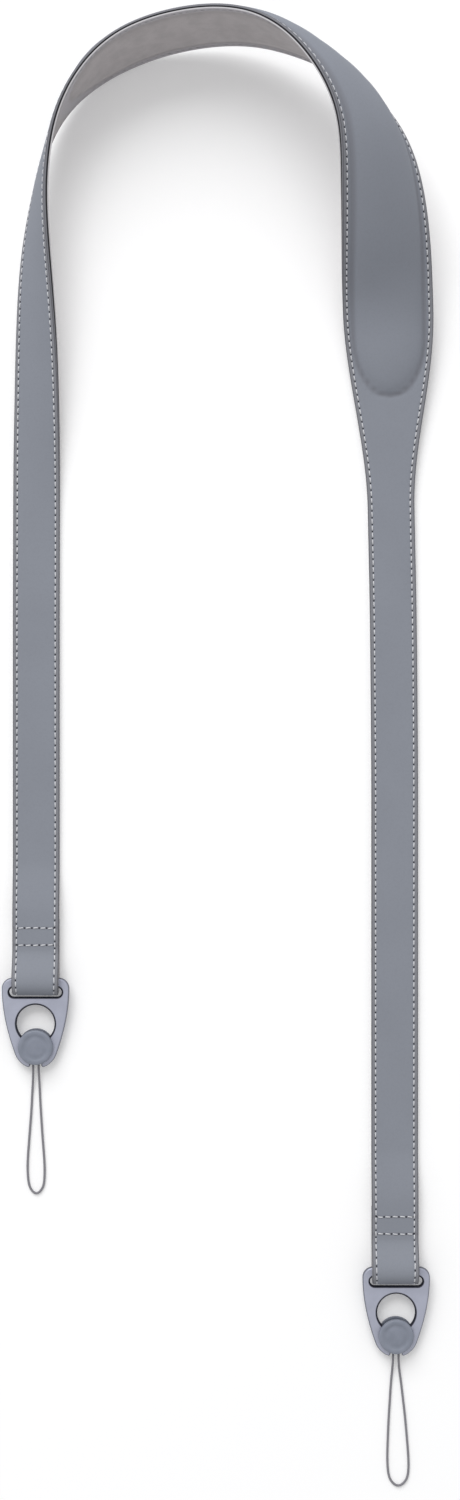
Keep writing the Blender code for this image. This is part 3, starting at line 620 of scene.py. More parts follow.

# Lining: brushed warm grey suede under the whole strip, glued and sewn to the leather, with its nap side to
# the wearer. The seams and the foam's outline press lines into it, darkened with painted shade, and the
# border outside them is flattened and a little bluer. Its cut edge carries a painted highlight, and a painted
# shade line runs along the crevice against the leather.
LINING_INSETS = np.array([0.22, 0.8, 1.3, 1.6, 1.9, 2.3, 2.8]) * MM
LINING_SHARES = (0.35, 0.65, 0.82, 0.9, 0.95)
LINING_EDGE = [(0.07 * MM, 0.05), (0.0, 0.2), (0.02 * MM, 0.58), (0.3 * MM, 0.96)]
LINING_UNDER_SHARES = (0.5,)
LINING_GLUED = 0.26 * MM
LINING_SWELL = 0.5 * MM
LINING_GROOVE = 0.35 * MM
SEAM_LINE_SHARE = 0.6
BORDER_FADE = 6.0 * MM
SUEDE_LIGHT = (0.48, 0.452, 0.457)
SUEDE_DARK = (0.42, 0.394, 0.399)
# darker flecks of the nap, and painted shade in the lines pressed in by the seams and the foam
SUEDE_NAP_AND_CREASE_SHADE = (0.24, 0.225, 0.235)
SUEDE_BORDER = (0.425, 0.408, 0.435)
# painted highlight on the lining's cut edge
SUEDE_EDGE_HIGHLIGHT = (0.56, 0.55, 0.57)

suede_finish, tree = new_finish(
    "grey_suede", SUEDE_LIGHT, 0.95, Sheen_Weight=0.25, Sheen_Roughness=0.5, Specular_IOR_Level=0.2)
brushed = mottle(tree, 5.0 * MM, 4.0)
nap = mottle(tree, 0.22 * MM, 5.0)
feed(tree, "Base Color", stained(
    tree, SUEDE_DARK,
    (SUEDE_LIGHT, brushed, 0.35, 0.65),
    (SUEDE_NAP_AND_CREASE_SHADE, nap, 0.35, 0.65, 0.22, 0.0),
    (SUEDE_BORDER, measure(tree, "border"), 0.0, 1.0),
    # painted shade: the lines pressed in by the seams and the foam's outline are darkened
    (SUEDE_NAP_AND_CREASE_SHADE, measure(tree, "groove"), 0.1, 1.0, 0.0, 0.32),
    # painted highlight: the lining's cut edge is coloured lighter
    (SUEDE_EDGE_HIGHLIGHT, measure(tree, "from_edge"), 0.05 * MM, 0.22 * MM, 0.9, 0.0),
    # painted shade: the lining's upper edge corner is coloured black, as the crevice against the leather
    (LAYER_CREVICE_SHADE, measure(tree, "depth"), 0.5, 0.64)))
fluff = calculate(tree, "ADD", nap, calculate(tree, "MULTIPLY", brushed, 0.5))
raise_surface(tree, fluff, 0.1 * MM, 0.6)

side, share = strip_ring(at_rows, LINING_INSETS, LINING_SHARES, LINING_EDGE, LINING_UNDER_SHARES)
inset = at_rows["half"][:, None] - np.abs(side)
rise, to_outline = dome(at_rows["distance"][:, None], side)
seam_line = bell((inset - SEAM_INSET) / SEAM_GROOVE_WIDTH)
foam_line = bell(to_outline / GROOVE_WIDTH)
pressed = SEAM_GROOVE * seam_line + LINING_GROOVE * foam_line - LINING_SWELL * rise / FOAM_RISE
height = (1.0 - share) * pressed + share * (LINING + LINING_GLUED)
make_piece(
    "suede_lining", on_strap(at_rows, side, height), closed_faces(*side.shape), suede_finish,
    "strap", ["lining"],
    {"from_edge": inset, "depth": share,
     "groove": (1.0 - share) * np.maximum(SEAM_LINE_SHARE * seam_line, foam_line),
     "border": ease(to_outline / GROOVE_WIDTH) * ease(2.0 - to_outline / BORDER_FADE)})

# Foam: a long oval of closed-cell foam, moulded to a crown, that fills the space between the lining and the
# raised leather. It isn't seen from outside.
FOAM_COLOUR = (0.12, 0.12, 0.13)
FOAM_PIT = (0.07, 0.07, 0.08)
FOAM_ROWS = 181
FOAM_HALF_RING = 16
FOAM_PLAY = 0.15 * MM
FOAM_RIM = 0.02 * MM

foam_finish, tree = new_finish("closed_cell_foam", FOAM_COLOUR, 0.9)
cells = pebbles(tree, 0.5 * MM)
feed(tree, "Base Color", tint(tree, cells, FOAM_COLOUR, FOAM_PIT))
raise_surface(tree, cells, 0.08 * MM)
turn = np.linspace(0.0, math.pi, FOAM_ROWS)[1:-1]
foam_reach = FOAM_LENGTH / 2 - FOAM_PLAY
foam_distance = -foam_reach * np.cos(turn)
foam_at = strap_at(FOLD_RUN + LEFT_REACH + foam_distance)
into_end = np.clip((np.abs(foam_distance) - FOAM_LENGTH / 2) / FOAM_ROUND_END + 1.0, 0.0, 1.0)
foam_half = (FOAM_WIDTH / 2 - FOAM_PLAY) * np.sqrt(1.0 - into_end ** 2)
sweep = np.cos(np.linspace(0.0, math.pi, FOAM_HALF_RING))
foam_side = foam_half[:, None] * np.concatenate([sweep, -sweep[1:-1]])
foam_rise = np.maximum(dome(foam_distance[:, None], foam_side)[0] - FOAM_PLAY, FOAM_RIM)
is_top = np.concatenate([np.ones(FOAM_HALF_RING), np.zeros(FOAM_HALF_RING - 2)])
foam_height = LINING + LINING_GLUED + FOAM_RIM + foam_rise * is_top
foam = make_piece("shoulder_foam", on_strap(foam_at, foam_side, foam_height), closed_faces(*foam_side.shape),
                  foam_finish, "strap", ["shoulder_pad_foam"])

# Sewing: light grey waxed thread, one lockstitch seam along each edge through both layers, and two rows
# across each end through the folded tail. Each stitch lies on the leather and dives into a needle hole at
# both ends, and the lower thread shows the same on the suede.
THREAD_WIDTH = 0.56 * MM
THREAD_HEIGHT = 0.42 * MM
THREAD_SIDES = 6
STITCH_SLANT = 0.08 * MM
STITCH_PLACES = (0.0, 0.12, 0.27, 0.73, 0.88, 1.0)
STITCH_LIFTS = (-0.7 * MM, -0.42 * MM, 0.12 * MM, 0.12 * MM, -0.42 * MM, -0.7 * MM)
STITCH_SIZES = (0.6, 0.85, 1.0, 1.0, 0.85, 0.6)
LOWER_SIZE = 0.5
CROSS_SLANT = 0.16 * MM
CROSS_WANDER = 0.14 * MM
WANDER_LENGTH = 3.1 * MM
WANDER_TURN = 40.0
THREAD_LIGHT = (0.7, 0.71, 0.74)
# painted shade in the grooves between the thread's plies
THREAD_PLY_SHADE = (0.46, 0.465, 0.49)
LOWER_THREAD = (0.42, 0.41, 0.43)

thread_finish, tree = new_finish("waxed_thread", THREAD_LIGHT, 0.6)
place = wire(tree, "ShaderNodeUVMap", uv_map="run_and_turn")
split = wire(tree, "ShaderNodeSeparateXYZ", {0: place}).node
twist = calculate(tree, "ADD", calculate(tree, "MULTIPLY", split.outputs["X"], math.tau / (0.5 * MM)),
                  calculate(tree, "MULTIPLY", split.outputs["Y"], math.tau * 2.0))
plies = calculate(tree, "SINE", twist)
# painted shade: the troughs of the twist are darker, the crests lighter
feed(tree, "Base Color", stained(tree, THREAD_PLY_SHADE, (THREAD_LIGHT, plies, -1.0, 0.3),
                                 (LOWER_THREAD, measure(tree, "lower"), 0.0, 1.0)))
raise_surface(tree, plies, 0.04 * MM, 0.7)


def make_stitches(name, starts, ends, outward, lower, replaced):
    """One closed capsule for each stitch: an elliptical section carried from needle hole to needle hole
    along a low arch. The lower thread, where lower is 1, is finer and takes the lining's colour."""
    along = ends - starts
    length = np.linalg.norm(along, axis=1)
    aside = np.cross(outward, along / length[:, None])[:, None, :]
    outward = outward[:, None, :]
    turn = np.arange(THREAD_SIDES) * math.tau / THREAD_SIDES
    places, lifts, sizes = np.array([STITCH_PLACES, STITCH_LIFTS, STITCH_SIZES])[:, :, None]
    centre = starts[:, None, :] + places * along[:, None, :] + lifts * outward
    sizes = (1.0 - (1.0 - LOWER_SIZE) * lower[:, None, None]) * sizes / 2
    points = beside(centre, aside, outward, THREAD_WIDTH * sizes * np.cos(turn),
                    THREAD_HEIGHT * sizes * np.sin(turn))
    rings = (len(places), THREAD_SIDES, len(starts))
    row, place = grid_faces(*rings)[1:]
    run = places[row, 0] * np.repeat(length, (len(places) - 1) * THREAD_SIDES)[:, None]
    uv = np.stack([run, place / THREAD_SIDES], axis=-1).reshape(-1, 2)
    make_piece(name, points, closed_faces(*rings), thread_finish, "strap", replaced,
               {"lower": np.repeat(lower, len(places) * THREAD_SIDES)}, uv=uv)


def seam_points(run, side_sign, height, inset_more):
    """Points along one seam at the given run lengths, and the way out of the leather there."""
    at = strap_at(run)
    rise = dome(at["distance"], at["half"] - SEAM_INSET)[0]
    side = side_sign * (at["half"] - SEAM_INSET - inset_more)
    outer = height + rise * (height > STRAP_THICKNESS / 2)
    return on_strap(at, side[:, None], outer[:, None])[:, 0], at["out"]


def sew_edge(name, side_sign, replaced):
    """The seam along one edge: the upper thread's stitches on the leather from tail to tail, and the lower
    thread's on the lining, apart from where the tails cover it."""
    first = 1.0 if side_sign > 0 else 0.5
    holes = (np.arange(STITCH_COUNT - 1) + first) * PITCH
    on_leather = STRAP_THICKNESS - SEAM_GROOVE
    starts, outward = seam_points(holes[:-1], side_sign, on_leather, -STITCH_SLANT)
    ends, after = seam_points(holes[1:], side_sign, on_leather, STITCH_SLANT)
    open_lining = np.minimum(holes, STRAP_RUN - holes) > FOLD_RUN + TAIL_LENGTH + LEATHER
    lower = holes[open_lining]
    lower_starts, lower_out = seam_points(lower[:-1], side_sign, SEAM_GROOVE, STITCH_SLANT)
    lower_ends, _ = seam_points(lower[1:], side_sign, SEAM_GROOVE, -STITCH_SLANT)
    is_lower = np.repeat([0.0, 1.0], [len(starts), len(lower_starts)])
    make_stitches(name, np.concatenate([starts, lower_starts]), np.concatenate([ends, lower_ends]),
                  np.concatenate([unit(outward + after), -lower_out]), is_lower, replaced)


def sew_across(name, from_bar, right, replaced):
    """A row across one end, not quite straight: stitches on the leather, and the same row under the tail."""
    run = FOLD_RUN + from_bar
    at = strap_at(np.array([STRAP_RUN - run if right else run]))
    holes = np.linspace(-CROSS_REACH, CROSS_REACH, CROSS_STITCHES + 1)[None, :]
    line = on_strap(at, holes, 0.0 * holes + STRAP_THICKNESS)[0]
    line[:, 1] += CROSS_WANDER * np.sin(holes[0] / WANDER_LENGTH + WANDER_TURN * from_bar / MM)
    slant = np.array([0.0, CROSS_SLANT, 0.0])
    starts = line[:-1] - slant
    ends = line[1:] + slant
    under = np.array([1.0, 1.0, 0.0])
    lift = np.array([0.0, 0.0, SEAM_GROOVE])
    count = (CROSS_STITCHES, 1)
    make_stitches(name, np.concatenate([starts, ends * under + lift]),
                  np.concatenate([ends, starts * under + lift]),
                  np.concatenate([np.tile(at["out"], count), np.tile([0.0, 0.0, -1.0], count)]),
                  np.zeros(2 * CROSS_STITCHES), replaced)


sew_edge("inner_edge_seam", 1.0, ["inner_edge_stitching"])
sew_edge("outer_edge_seam", -1.0, ["outer_edge_stitching"])
for end_name, is_right in (("left", False), ("right", True)):
    sew_across(end_name + "_near_cross_seam", NEAR_ROW, is_right, [end_name + "_near_cross_stitching"])
    sew_across(end_name + "_far_cross_seam", FAR_ROW, is_right, [end_name + "_far_cross_stitching"])

# Connector plates: 2.5 mm metal, cut to a rounded shield with a slot for the strap and an open keyhole for
# the button, chamfered all round, bead-blasted and anodised lavender grey. Painted shade and a painted dark
# reflection darken its edges, almost black inside the slot and the keyhole. Each hangs in a fold by its bar.
PLATE_THICKNESS = 2.5 * MM
PLATE_WIDTH = 28.8 * MM
PLATE_CHAMFER = 0.6 * MM
CORNER_RADIUS = 4.5 * MM
BAR_DEPTH = 4.0 * MM
SLOT_LENGTH = 22.4 * MM
FOLD_PLAY = 1.2 * MM
SLOT_FAR_SIDE = FOLD_RADIUS + FOLD_PLAY
SEAT_DISTANCE = 27.6 * MM
HOLE_DISTANCE = 17.6 * MM
HOLE_RADIUS = 8.1 * MM
SEAT_RADIUS = 3.3 * MM
NOTCH_HALF = 2.4 * MM
CUSP_ROUND = 0.95 * MM
TIP_RADIUS = 9.4 * MM
TIP_ARC_START = 20.0
TIP_ROUND = 0.9 * MM
ARC_STEP = 4.0
SIDE_POINTS = 24
CHAMFER_ROUND = 0.09 * MM
FLAT_MARGIN = 0.3 * MM
PLATE_COLOUR = (0.38, 0.395, 0.475)
PLATE_WORN = (0.352, 0.367, 0.442)
# painted shade and painted dark reflection on the plate's edges
PLATE_EDGE_SHADE = (0.02, 0.021, 0.034)
OUTER_EDGE_SHADE_SHARE = 0.8
INNER_MARGIN_SHADE_SHARE = 0.85

plate_finish, tree = new_finish("blasted_anodised_plate", PLATE_COLOUR, 0.5, Metallic=0.6)
blasted = mottle(tree, 0.12 * MM, 3.0)
feed(tree, "Base Color", stained(tree, PLATE_WORN, (PLATE_COLOUR, mottle(tree, 6.0 * MM), 0.35, 0.65),
                                 # painted shade and painted dark reflection: the edges are coloured near
                                 # black
                                 (PLATE_EDGE_SHADE, measure(tree, "cut_edge"), 0.0, 1.0)))
feed(tree, "Roughness", spread(tree, blasted, 0.3, 0.7, 0.44, 0.56))
raise_surface(tree, blasted, 0.02 * MM, 0.7)


def arc(middle_x, middle_y, radius, start, end):
    """Points along an arc of a circle; angles in degrees."""
    count = max(3, int(math.ceil(abs(end - start) / ARC_STEP)) + 1)
    turn = np.radians(np.linspace(start, end, count))
    return np.stack([middle_x + radius * np.cos(turn), middle_y + radius * np.sin(turn)], axis=1)


def touching(across, reach):
    """Rise and turn, in degrees, of a point so far across and at such a reach from a round's middle: the
    root of the difference of the two squares, and the angle of rise over across."""
    rise = math.sqrt(reach ** 2 - across ** 2)
    return rise, math.degrees(math.atan2(rise, across))


def plate_half_outline():
    """Right half of the plate's outline and keyhole, from the middle of its top to the top of its hole, as
    x and distance towards the tip, and 1 for the points inside the keyhole. Straight and curved sides
    run into arcs at the corners, the tip and the keyhole, and small arcs round off its corners."""
    half = PLATE_WIDTH / 2
    top = -BAR_DEPTH / 2
    corner = arc(half - CORNER_RADIUS, top + CORNER_RADIUS, CORNER_RADIUS, -90.0, 0.0)
    turn = math.radians(TIP_ARC_START)
    join = np.array([TIP_RADIUS * math.cos(turn), SEAT_DISTANCE + TIP_RADIUS * math.sin(turn)])
    pull = np.array([half, join[1] - (half - join[0]) / math.tan(turn)])
    t = np.linspace(0.0, 1.0, SIDE_POINTS)[1:-1, None]
    long_side = (1 - t) ** 2 * corner[-1] + 2 * t * (1 - t) * pull + t * t * join
    round_x = NOTCH_HALF + TIP_ROUND
    round_rise, tip_end = touching(round_x, TIP_RADIUS - TIP_ROUND)
    lip_x = NOTCH_HALF + CUSP_ROUND
    lip_rise, lip_turn = touching(lip_x, SEAT_RADIUS + CUSP_ROUND)
    cusp_x = SEAT_RADIUS + CUSP_ROUND
    cusp_rise, cusp_turn = touching(cusp_x, HOLE_RADIUS + CUSP_ROUND)
    outside = np.concatenate([
        [[0.0, top]], corner, long_side,
        arc(0.0, SEAT_DISTANCE, TIP_RADIUS, TIP_ARC_START, tip_end),
        arc(round_x, SEAT_DISTANCE + round_rise, TIP_ROUND, tip_end, 180.0)[1:],
    ])
    inside = np.concatenate([
        arc(lip_x, SEAT_DISTANCE + lip_rise, CUSP_ROUND, 180.0, 180.0 + lip_turn),
        arc(0.0, SEAT_DISTANCE, SEAT_RADIUS, lip_turn, 0.0)[1:],
        arc(cusp_x, HOLE_DISTANCE + cusp_rise, CUSP_ROUND, 180.0, 180.0 + cusp_turn),
        arc(0.0, HOLE_DISTANCE, HOLE_RADIUS, cusp_turn, -90.0)[1:],
    ])
    return np.concatenate([outside, inside]), np.repeat([0.0, 1.0], [len(outside), len(inside)])


def slot_outline():
    """The round-ended slot beside the bar."""
    radius = (SLOT_FAR_SIDE - BAR_DEPTH / 2) / 2
    middle = BAR_DEPTH / 2 + radius
    reach = SLOT_LENGTH / 2 - radius
    return np.concatenate([arc(reach, middle, radius, -90.0, 90.0), arc(-reach, middle, radius, 90.0, 270.0)])


def inset_outline(ring, distance):
    """A closed outline moved sideways by a distance, to the left of its run: each corner goes along the
    middle of its two normals, by the distance over the cosine of half its turn."""
    before = unit(ring - np.roll(ring, 1, axis=0))
    normals = before[:, ::-1] * [-1.0, 1.0]
    middle = unit(normals + np.roll(normals, -1, axis=0))
    cosine = np.sum(middle * normals, axis=1)
    return ring + middle * (distance / cosine)[:, None]


def hung(hinge, points):
    """Points of the plate's own frame, x across, y away from the tip and z up, set on its hinge with the
    plate's droop."""
    slide = next(joint for joint in frame["joints"] if joint["type"] == "slide")
    inward = np.array(slide["axis"])
    sideways = np.array([1.0, 0.0, 0.0])
    upward = np.cross(sideways, inward)
    return hinge + points @ np.stack([sideways, inward, upward])


def fill_flats(points, faces):
    """Triangles that close the open rims of a plate's edges, one flat on each side."""
    shell = bpy.data.meshes.new("open_plate")
    shell.from_pydata(points.tolist(), [], faces.tolist())
    flats = bmesh.new()
    flats.from_mesh(shell)
    for side in (1.0, -1.0):
        rim = [edge for edge in flats.edges if edge.is_boundary and side * edge.verts[0].co.z > 0.0]
        bmesh.ops.triangle_fill(flats, use_beauty=True, use_dissolve=False, edges=rim)
    filled = [[corner.index for corner in face.verts] for face in flats.faces if len(face.verts) == 3]
    flats.free()
    bpy.data.meshes.remove(shell)
    return np.array(filled)


def make_plate(name, hinge, body, replaced):
    """Both outlines carried up the edge's profile, chamfer, wall and chamfer, with the two flats filled."""
    right, inside = plate_half_outline()
    shield = np.concatenate([right, right[::-1][1:-1] * [-1.0, 1.0]])
    shield_dark = np.concatenate([inside, inside[::-1][1:-1]])
    half = PLATE_THICKNESS / 2
    profile = [(half, PLATE_CHAMFER + FLAT_MARGIN, 0.0),
               (half, PLATE_CHAMFER + CHAMFER_ROUND / 2, INNER_MARGIN_SHADE_SHARE),
               (half - CHAMFER_ROUND / 2, PLATE_CHAMFER - CHAMFER_ROUND / 2, 1.0),
               (half - PLATE_CHAMFER + CHAMFER_ROUND / 2, CHAMFER_ROUND / 2, 1.0),
               (half - PLATE_CHAMFER - CHAMFER_ROUND / 2, 0.0, 1.0)]
    profile += [(-height, inset, dark) for height, inset, dark in profile[::-1]]
    slot = slot_outline()
    points, faces, cut_edge, start = [], [], [], 0
    for outline, is_inside, turn in ((shield, shield_dark, 1.0), (slot, np.ones(len(slot)), -1.0)):
        for height, inset, dark in profile:
            ring = inset_outline(outline, turn * inset)
            points.append(np.stack([ring[:, 0], -ring[:, 1], np.full(len(ring), height)], axis=1))
            # painted shade and painted dark reflection: the outer wall and outer part of its chamfer, and the
            # whole edge of the slot and keyhole with a thin margin of the face
            outer = OUTER_EDGE_SHADE_SHARE * dark * (inset < PLATE_CHAMFER / 2)
            cut_edge.append(outer + (dark - outer) * is_inside)
        faces.append(start + grid_faces(len(profile), len(outline))[0])
        start += len(profile) * len(outline)
    placed = np.concatenate(points)
    walls = np.concatenate(faces)
    make_piece(name, hung(hinge, placed), [walls, fill_flats(placed, walls)], plate_finish, body,
               replaced, {"cut_edge": np.concatenate(cut_edge)})


for end_name, hinge in (("left", left_hinge), ("right", right_hinge)):
    make_plate(end_name + "_shield_plate", hinge, end_name + "_connector", [end_name + "_connector_plate"])

# Quick-release buttons: two turned and moulded grey-blue discs joined by a hollow neck that slides in the
# keyhole. The top disc has a dished ring round its middle, and the neck is open at the front for the cord.
BUTTON_RADIUS = 7.5 * MM
CAP_THICKNESS = 2.0 * MM
FLANGE_THICKNESS = 1.6 * MM
NECK_RADIUS = 3.0 * MM
NECK_WALL = 0.8 * MM
DISH_OUTER = 5.8 * MM
DISH_INNER = 3.3 * MM
DISH_DEPTH = 0.35 * MM
DISH_RIM_DROP = 0.05 * MM
DISH_MIDDLE_DROP = 0.15 * MM
EDGE_ROUND = 0.4 * MM
BUTTON_SIDES = 96
BUTTON_LIGHT = (0.215, 0.235, 0.29)
BUTTON_DARK = (0.19, 0.21, 0.26)
BUTTON_SHADED = (0.1, 0.11, 0.14)
BASE_SHADE = 0.7

button_finish, tree = new_finish("moulded_button", BUTTON_LIGHT, 0.48)
texture = mottle(tree, 0.2 * MM, 3.0)
turning = calculate(tree, "SINE", calculate(tree, "MULTIPLY", measure(tree, "radius"), math.tau / (0.3 * MM)))
feed(tree, "Base Color", stained(tree, BUTTON_DARK, (BUTTON_LIGHT, mottle(tree, 4.0 * MM), 0.35, 0.65),
                                 # painted shade on the lower disc, which lies below the plate
                                 (BUTTON_SHADED, measure(tree, "inner"), 0.0, 1.0)))
feed(tree, "Roughness", spread(tree, texture, 0.3, 0.7, 0.42, 0.54))
turned = calculate(tree, "ADD", texture, calculate(tree, "MULTIPLY", turning, 0.3))
raise_surface(tree, turned, 0.01 * MM, 0.6)


def soften(profile, times=2):
    """Cuts the corners of an open profile: each run between two points becomes its middle half."""
    line = np.array(profile)
    for _ in range(times):
        quarters = np.stack([0.75 * line[:-1] + 0.25 * line[1:], 0.25 * line[:-1] + 0.75 * line[1:]], axis=1)
        line = np.concatenate([line[:1], quarters.reshape(-1, 2)[1:-1], line[-1:]])
    return line


def turn_piece(name, profile, seat, finish, slot, body, replaced, crease=None, **steady):
    """A profile of radius and height, axis to axis, turned round the seat's upright, with one point and a
    fan of triangles at each pole. Its points carry their radius and the steady values."""
    radius, height = np.array(profile)[1:-1].T[:, :, None]
    turn = np.arange(BUTTON_SIDES) * math.tau / BUTTON_SIDES
    rings = np.stack([radius * np.cos(turn), radius * np.sin(turn), height + 0.0 * turn], axis=-1)
    rings = rings.reshape(-1, 3)
    poles = np.array([[0.0, 0.0, profile[0][1]], [0.0, 0.0, profile[-1][1]]])
    place = np.arange(BUTTON_SIDES)
    after = (place + 1) % BUTTON_SIDES
    last = (len(radius) - 1) * BUTTON_SIDES
    fans = [np.stack([np.full(BUTTON_SIDES, len(rings)), after, place], axis=1),
            np.stack([np.full(BUTTON_SIDES, len(rings) + 1), last + place, last + after], axis=1)]
    points = np.concatenate([rings, poles])
    values = {label: np.full(len(points), value) for label, value in steady.items()}
    values["radius"] = np.hypot(points[:, 0], points[:, 1])
    faces = [grid_faces(len(radius), BUTTON_SIDES)[0], *fans]
    return make_piece(name, hung(seat, points), faces, finish, body, replaced, values, crease=crease)


def make_cap(name, seat, body, replaced):
    """Top disc: rounded rim, dished ring and low middle, with soft edges between them."""
    low = PLATE_THICKNESS / 2 + GAP
    high = low + CAP_THICKNESS
    edge = BUTTON_RADIUS
    profile = soften([
        (0.0, low), (edge - EDGE_ROUND, low), (edge, low + EDGE_ROUND), (edge, high - 2 * EDGE_ROUND),
        (edge - EDGE_ROUND / 2, high - EDGE_ROUND / 2), (edge - 2 * EDGE_ROUND, high),
        (DISH_OUTER, high - DISH_RIM_DROP), (DISH_OUTER - 2 * EDGE_ROUND, high - DISH_DEPTH),
        (DISH_INNER + 2 * EDGE_ROUND, high - DISH_DEPTH), (DISH_INNER, high - DISH_MIDDLE_DROP),
        (DISH_INNER / 2, high - DISH_MIDDLE_DROP), (0.0, high - DISH_MIDDLE_DROP)], 3)
    turn_piece(name, profile, seat, button_finish, "button", body, replaced, crease=50)


def make_base(name, seat, body, replaced):
    """Lower disc with its hollow neck. A block as wide as the two strands cuts the neck's mouth."""
    high = -PLATE_THICKNESS / 2 - GAP
    low = high - FLANGE_THICKNESS
    floor = -CORD_DIAMETER / 2 - GAP
    neck_top = PLATE_THICKNESS / 2
    rim = soften([(BUTTON_RADIUS - 2 * EDGE_ROUND, low), (BUTTON_RADIUS - EDGE_ROUND / 2, low),
                  (BUTTON_RADIUS, low + EDGE_ROUND), (BUTTON_RADIUS, high - EDGE_ROUND / 2),
                  (BUTTON_RADIUS - EDGE_ROUND / 2, high), (BUTTON_RADIUS - 2 * EDGE_ROUND, high)])
    profile = [(0.0, low), (BUTTON_RADIUS / 2, low), *rim, (NECK_RADIUS, high), (NECK_RADIUS, neck_top),
               (NECK_RADIUS - NECK_WALL, neck_top), (NECK_RADIUS - NECK_WALL, floor), (0.0, floor)]
    # painted shade: the lower disc is coloured darker for the shade it lies in below the plate
    base = turn_piece(name, profile, seat, button_finish, "button", body, replaced, crease=40,
                      inner=BASE_SHADE)
    half_mouth = (STRAND_SPACING + CORD_DIAMETER) / 2 + GAP
    block = np.array([(x, y, z) for x in (-half_mouth, half_mouth) for y in (-2 * NECK_RADIUS, 0.0)
                      for z in (floor, PLATE_THICKNESS)])
    cutter_mesh = bpy.data.meshes.new("mouth_cutter")
    cutter_mesh.from_pydata(hung(seat, block).tolist(), [], [
        (0, 1, 3, 2), (4, 6, 7, 5), (0, 4, 5, 1), (2, 3, 7, 6), (0, 2, 6, 4), (1, 5, 7, 3)])
    cutter = show(bpy.data.objects.new("mouth_cutter", cutter_mesh))
    cut = base.modifiers.new("mouth", "BOOLEAN")
    cut.operation = "DIFFERENCE"
    cut.solver = "EXACT"
    cut.object = cutter
    bpy.context.view_layer.update()
    finished = bpy.data.meshes.new_from_object(base.evaluated_get(bpy.context.evaluated_depsgraph_get()))
    base.modifiers.clear()
    base.data = finished
    bpy.data.objects.remove(cutter)


# Cord loops: 1 mm round cord, braided of eight strands, grey and limp. Both ends of each loop go
# into the button's neck, where a knot holds them, and the loop lies on the table.
CORD_DIAMETER = 1.0 * MM
STRAND_SPACING = 2.4 * MM
CORD_STEP = 0.14 * MM
CORD_SIDES = 32
BRAID_REPEAT = 0.8 * MM
STRANDS_EACH_WAY = 4
BRAID_RELIEF = 0.1
OVER_AND_UNDER = 0.25
WRAP_DEPTH = 0.12
KNOT_WRAPS = 1.5
KNOT_FULLNESS = 0.6
KNOT_CROWN = 0.8
KNOT_POINTS = 33
CORD_LIGHT = (0.235, 0.23, 0.255)
# painted shade in the valleys between the braid's strands, and darker fibres
CORD_VALLEY_SHADE_AND_FIBRE = (0.16, 0.156, 0.173)
LEFT_CORD_ROUTE = [
    (-1.2, -2.2, 3.4), (-1.2, -6.0, 3.2), (-1.2, -10.0, 2.8), (-1.4, -14.5, 1.5), (-1.8, -20.5, 0.6),
    (-2.2, -28.0, 0.55), (-2.8, -36.0, 0.55), (-3.4, -44.0, 0.55), (-3.8, -52.0, 0.55), (-3.5, -57.5, 0.55),
    (-2.1, -61.9, 0.55), (0.0, -63.4, 0.55), (2.1, -61.9, 0.55), (3.4, -57.5, 0.55), (3.5, -52.0, 0.55),
    (3.0, -44.0, 0.55), (2.4, -36.0, 0.55), (1.9, -28.0, 0.55), (1.5, -20.5, 0.6), (1.3, -14.5, 1.5),
    (1.2, -10.0, 2.8), (1.2, -6.0, 3.2), (1.2, -2.2, 3.4),
]
RIGHT_CORD_ROUTE = [
    (-1.2, -2.2, 3.4), (-1.2, -6.0, 3.2), (-1.2, -10.0, 2.8), (-1.4, -14.5, 1.5), (-1.9, -20.5, 0.6),
    (-2.4, -28.0, 0.55), (-2.9, -36.0, 0.55), (-3.3, -45.0, 0.55), (-3.5, -53.0, 0.55), (-3.2, -59.0, 0.55),
    (-1.5, -63.8, 0.55), (1.2, -65.4, 0.55), (4.0, -63.7, 0.55), (5.5, -59.0, 0.55), (5.5, -53.0, 0.55),
    (4.9, -45.0, 0.55), (4.1, -36.0, 0.55), (3.2, -28.0, 0.55), (2.3, -20.5, 0.6), (1.5, -14.5, 1.5),
    (1.2, -10.0, 2.8), (1.2, -6.0, 3.2), (1.2, -2.2, 3.4),
]

cord_finish, tree = new_finish("braided_cord", CORD_LIGHT, 0.55)
fibres = mottle(tree, 0.08 * MM, 3.0)
# painted shade: the valleys between the strands are darker, the crowns lighter
feed(tree, "Base Color", stained(tree, CORD_VALLEY_SHADE_AND_FIBRE, (CORD_LIGHT, measure(tree, "crown"), 0.2, 0.9),
                                 (CORD_VALLEY_SHADE_AND_FIBRE, fibres, 0.3, 0.7, 0.25, 0.0)))
raise_surface(tree, fibres, 0.02 * MM, 0.8)


def braid(run, turn):
    """Height of the braid's strands from 0 to 1. Two sets wind opposite ways, each a row of rounded crowns,
    and a set lies over the other where the cosine of the strand count times the turn is positive."""
    wound = STRANDS_EACH_WAY * turn
    forward = math.tau * run / BRAID_REPEAT
    over = OVER_AND_UNDER * np.cos(wound)
    one = np.sqrt(0.5 + 0.5 * np.cos(wound + forward)) * (1.0 - OVER_AND_UNDER + over)
    other = np.sqrt(0.5 + 0.5 * np.cos(wound - forward)) * (1.0 - OVER_AND_UNDER - over)
    return np.maximum(one, other)


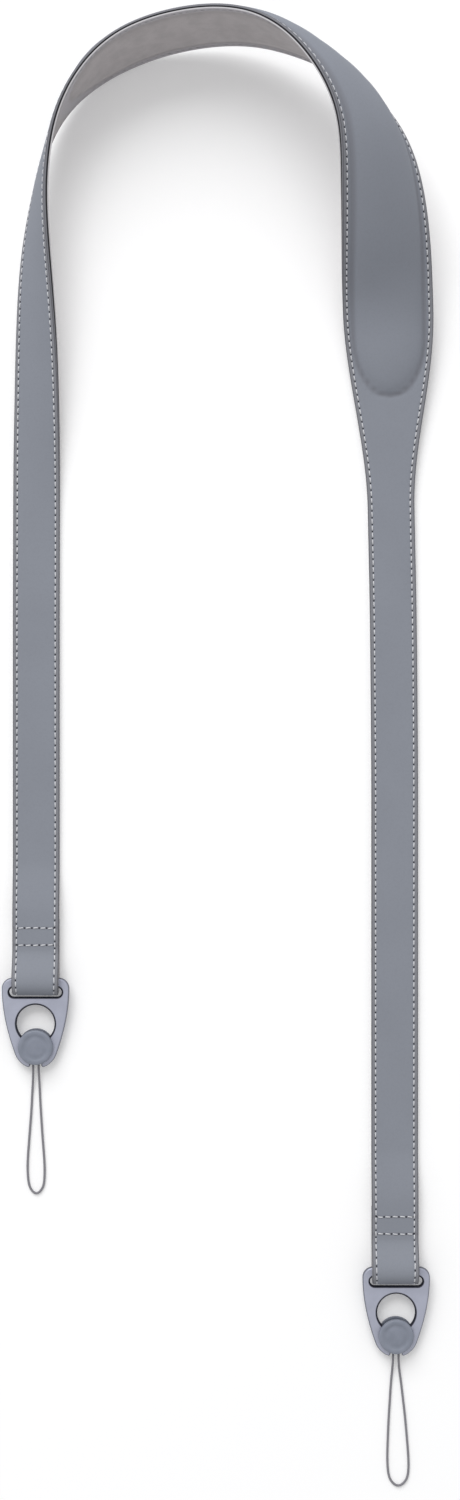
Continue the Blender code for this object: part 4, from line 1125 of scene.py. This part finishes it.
def make_loop(name, route, seat, body, replaced):
    """Round braided tube along a smooth curve through the route. Its section turns with the curve, level
    with the table across and upright in height."""
    points = np.array(route) * MM + [seat[0], seat[1], 0.0]
    knots = run_along(points)
    where = np.linspace(0.0, knots[-1], int(knots[-1] / CORD_STEP) + 1)
    line = smooth_curve(knots, points, where)
    run = run_along(line)
    along = unit(np.gradient(line, run, axis=0))
    aside = unit(np.cross(along, [0.0, 0.0, 1.0]))
    upward = np.cross(aside, along)
    turn = np.arange(CORD_SIDES) * math.tau / CORD_SIDES
    crown = braid(run[:, None], turn[None, :])
    radius = CORD_DIAMETER / 2 * (1.0 - BRAID_RELIEF * (1.0 - crown))
    surface = beside(line, aside, upward, radius * np.cos(turn), radius * np.sin(turn))
    loop = make_piece(name, surface, closed_faces(*crown.shape), cord_finish, body, replaced,
                      {"crown": crown})


def make_knot(name, seat, body, replaced):
    """The knot inside the neck: a tight round bundle with the wraps of the cord running round it."""
    radius = NECK_RADIUS - NECK_WALL - GAP
    low = -CORD_DIAMETER / 2
    high = PLATE_THICKNESS / 2 - GAP
    turn = np.linspace(0.0, math.pi, KNOT_POINTS)
    wraps = 1.0 - WRAP_DEPTH * np.abs(np.cos(KNOT_WRAPS * turn))
    profile = np.stack([radius * np.sin(turn) ** KNOT_FULLNESS * wraps,
                        (low + high) / 2 - (high - low) / 2 * np.cos(turn)], axis=1)
    return turn_piece(name, profile, seat, cord_finish, "cord", body, replaced, crown=KNOT_CROWN)


for end_name, hinge, route in (("left", left_hinge, LEFT_CORD_ROUTE),
                               ("right", right_hinge, RIGHT_CORD_ROUTE)):
    seat = hung(hinge, np.array([[0.0, -SEAT_DISTANCE, 0.0]]))[0]
    body = end_name + "_button"
    make_cap(end_name + "_release_cap", seat, body, [end_name + "_button_cap"])
    make_base(end_name + "_release_base", seat, body, [end_name + "_button_base"])
    knot = make_knot(end_name + "_loop_knot", seat, body, [end_name + "_cord_knot"])
    make_loop(end_name + "_eyelet_loop", route, seat, body, [end_name + "_cord_loop"])
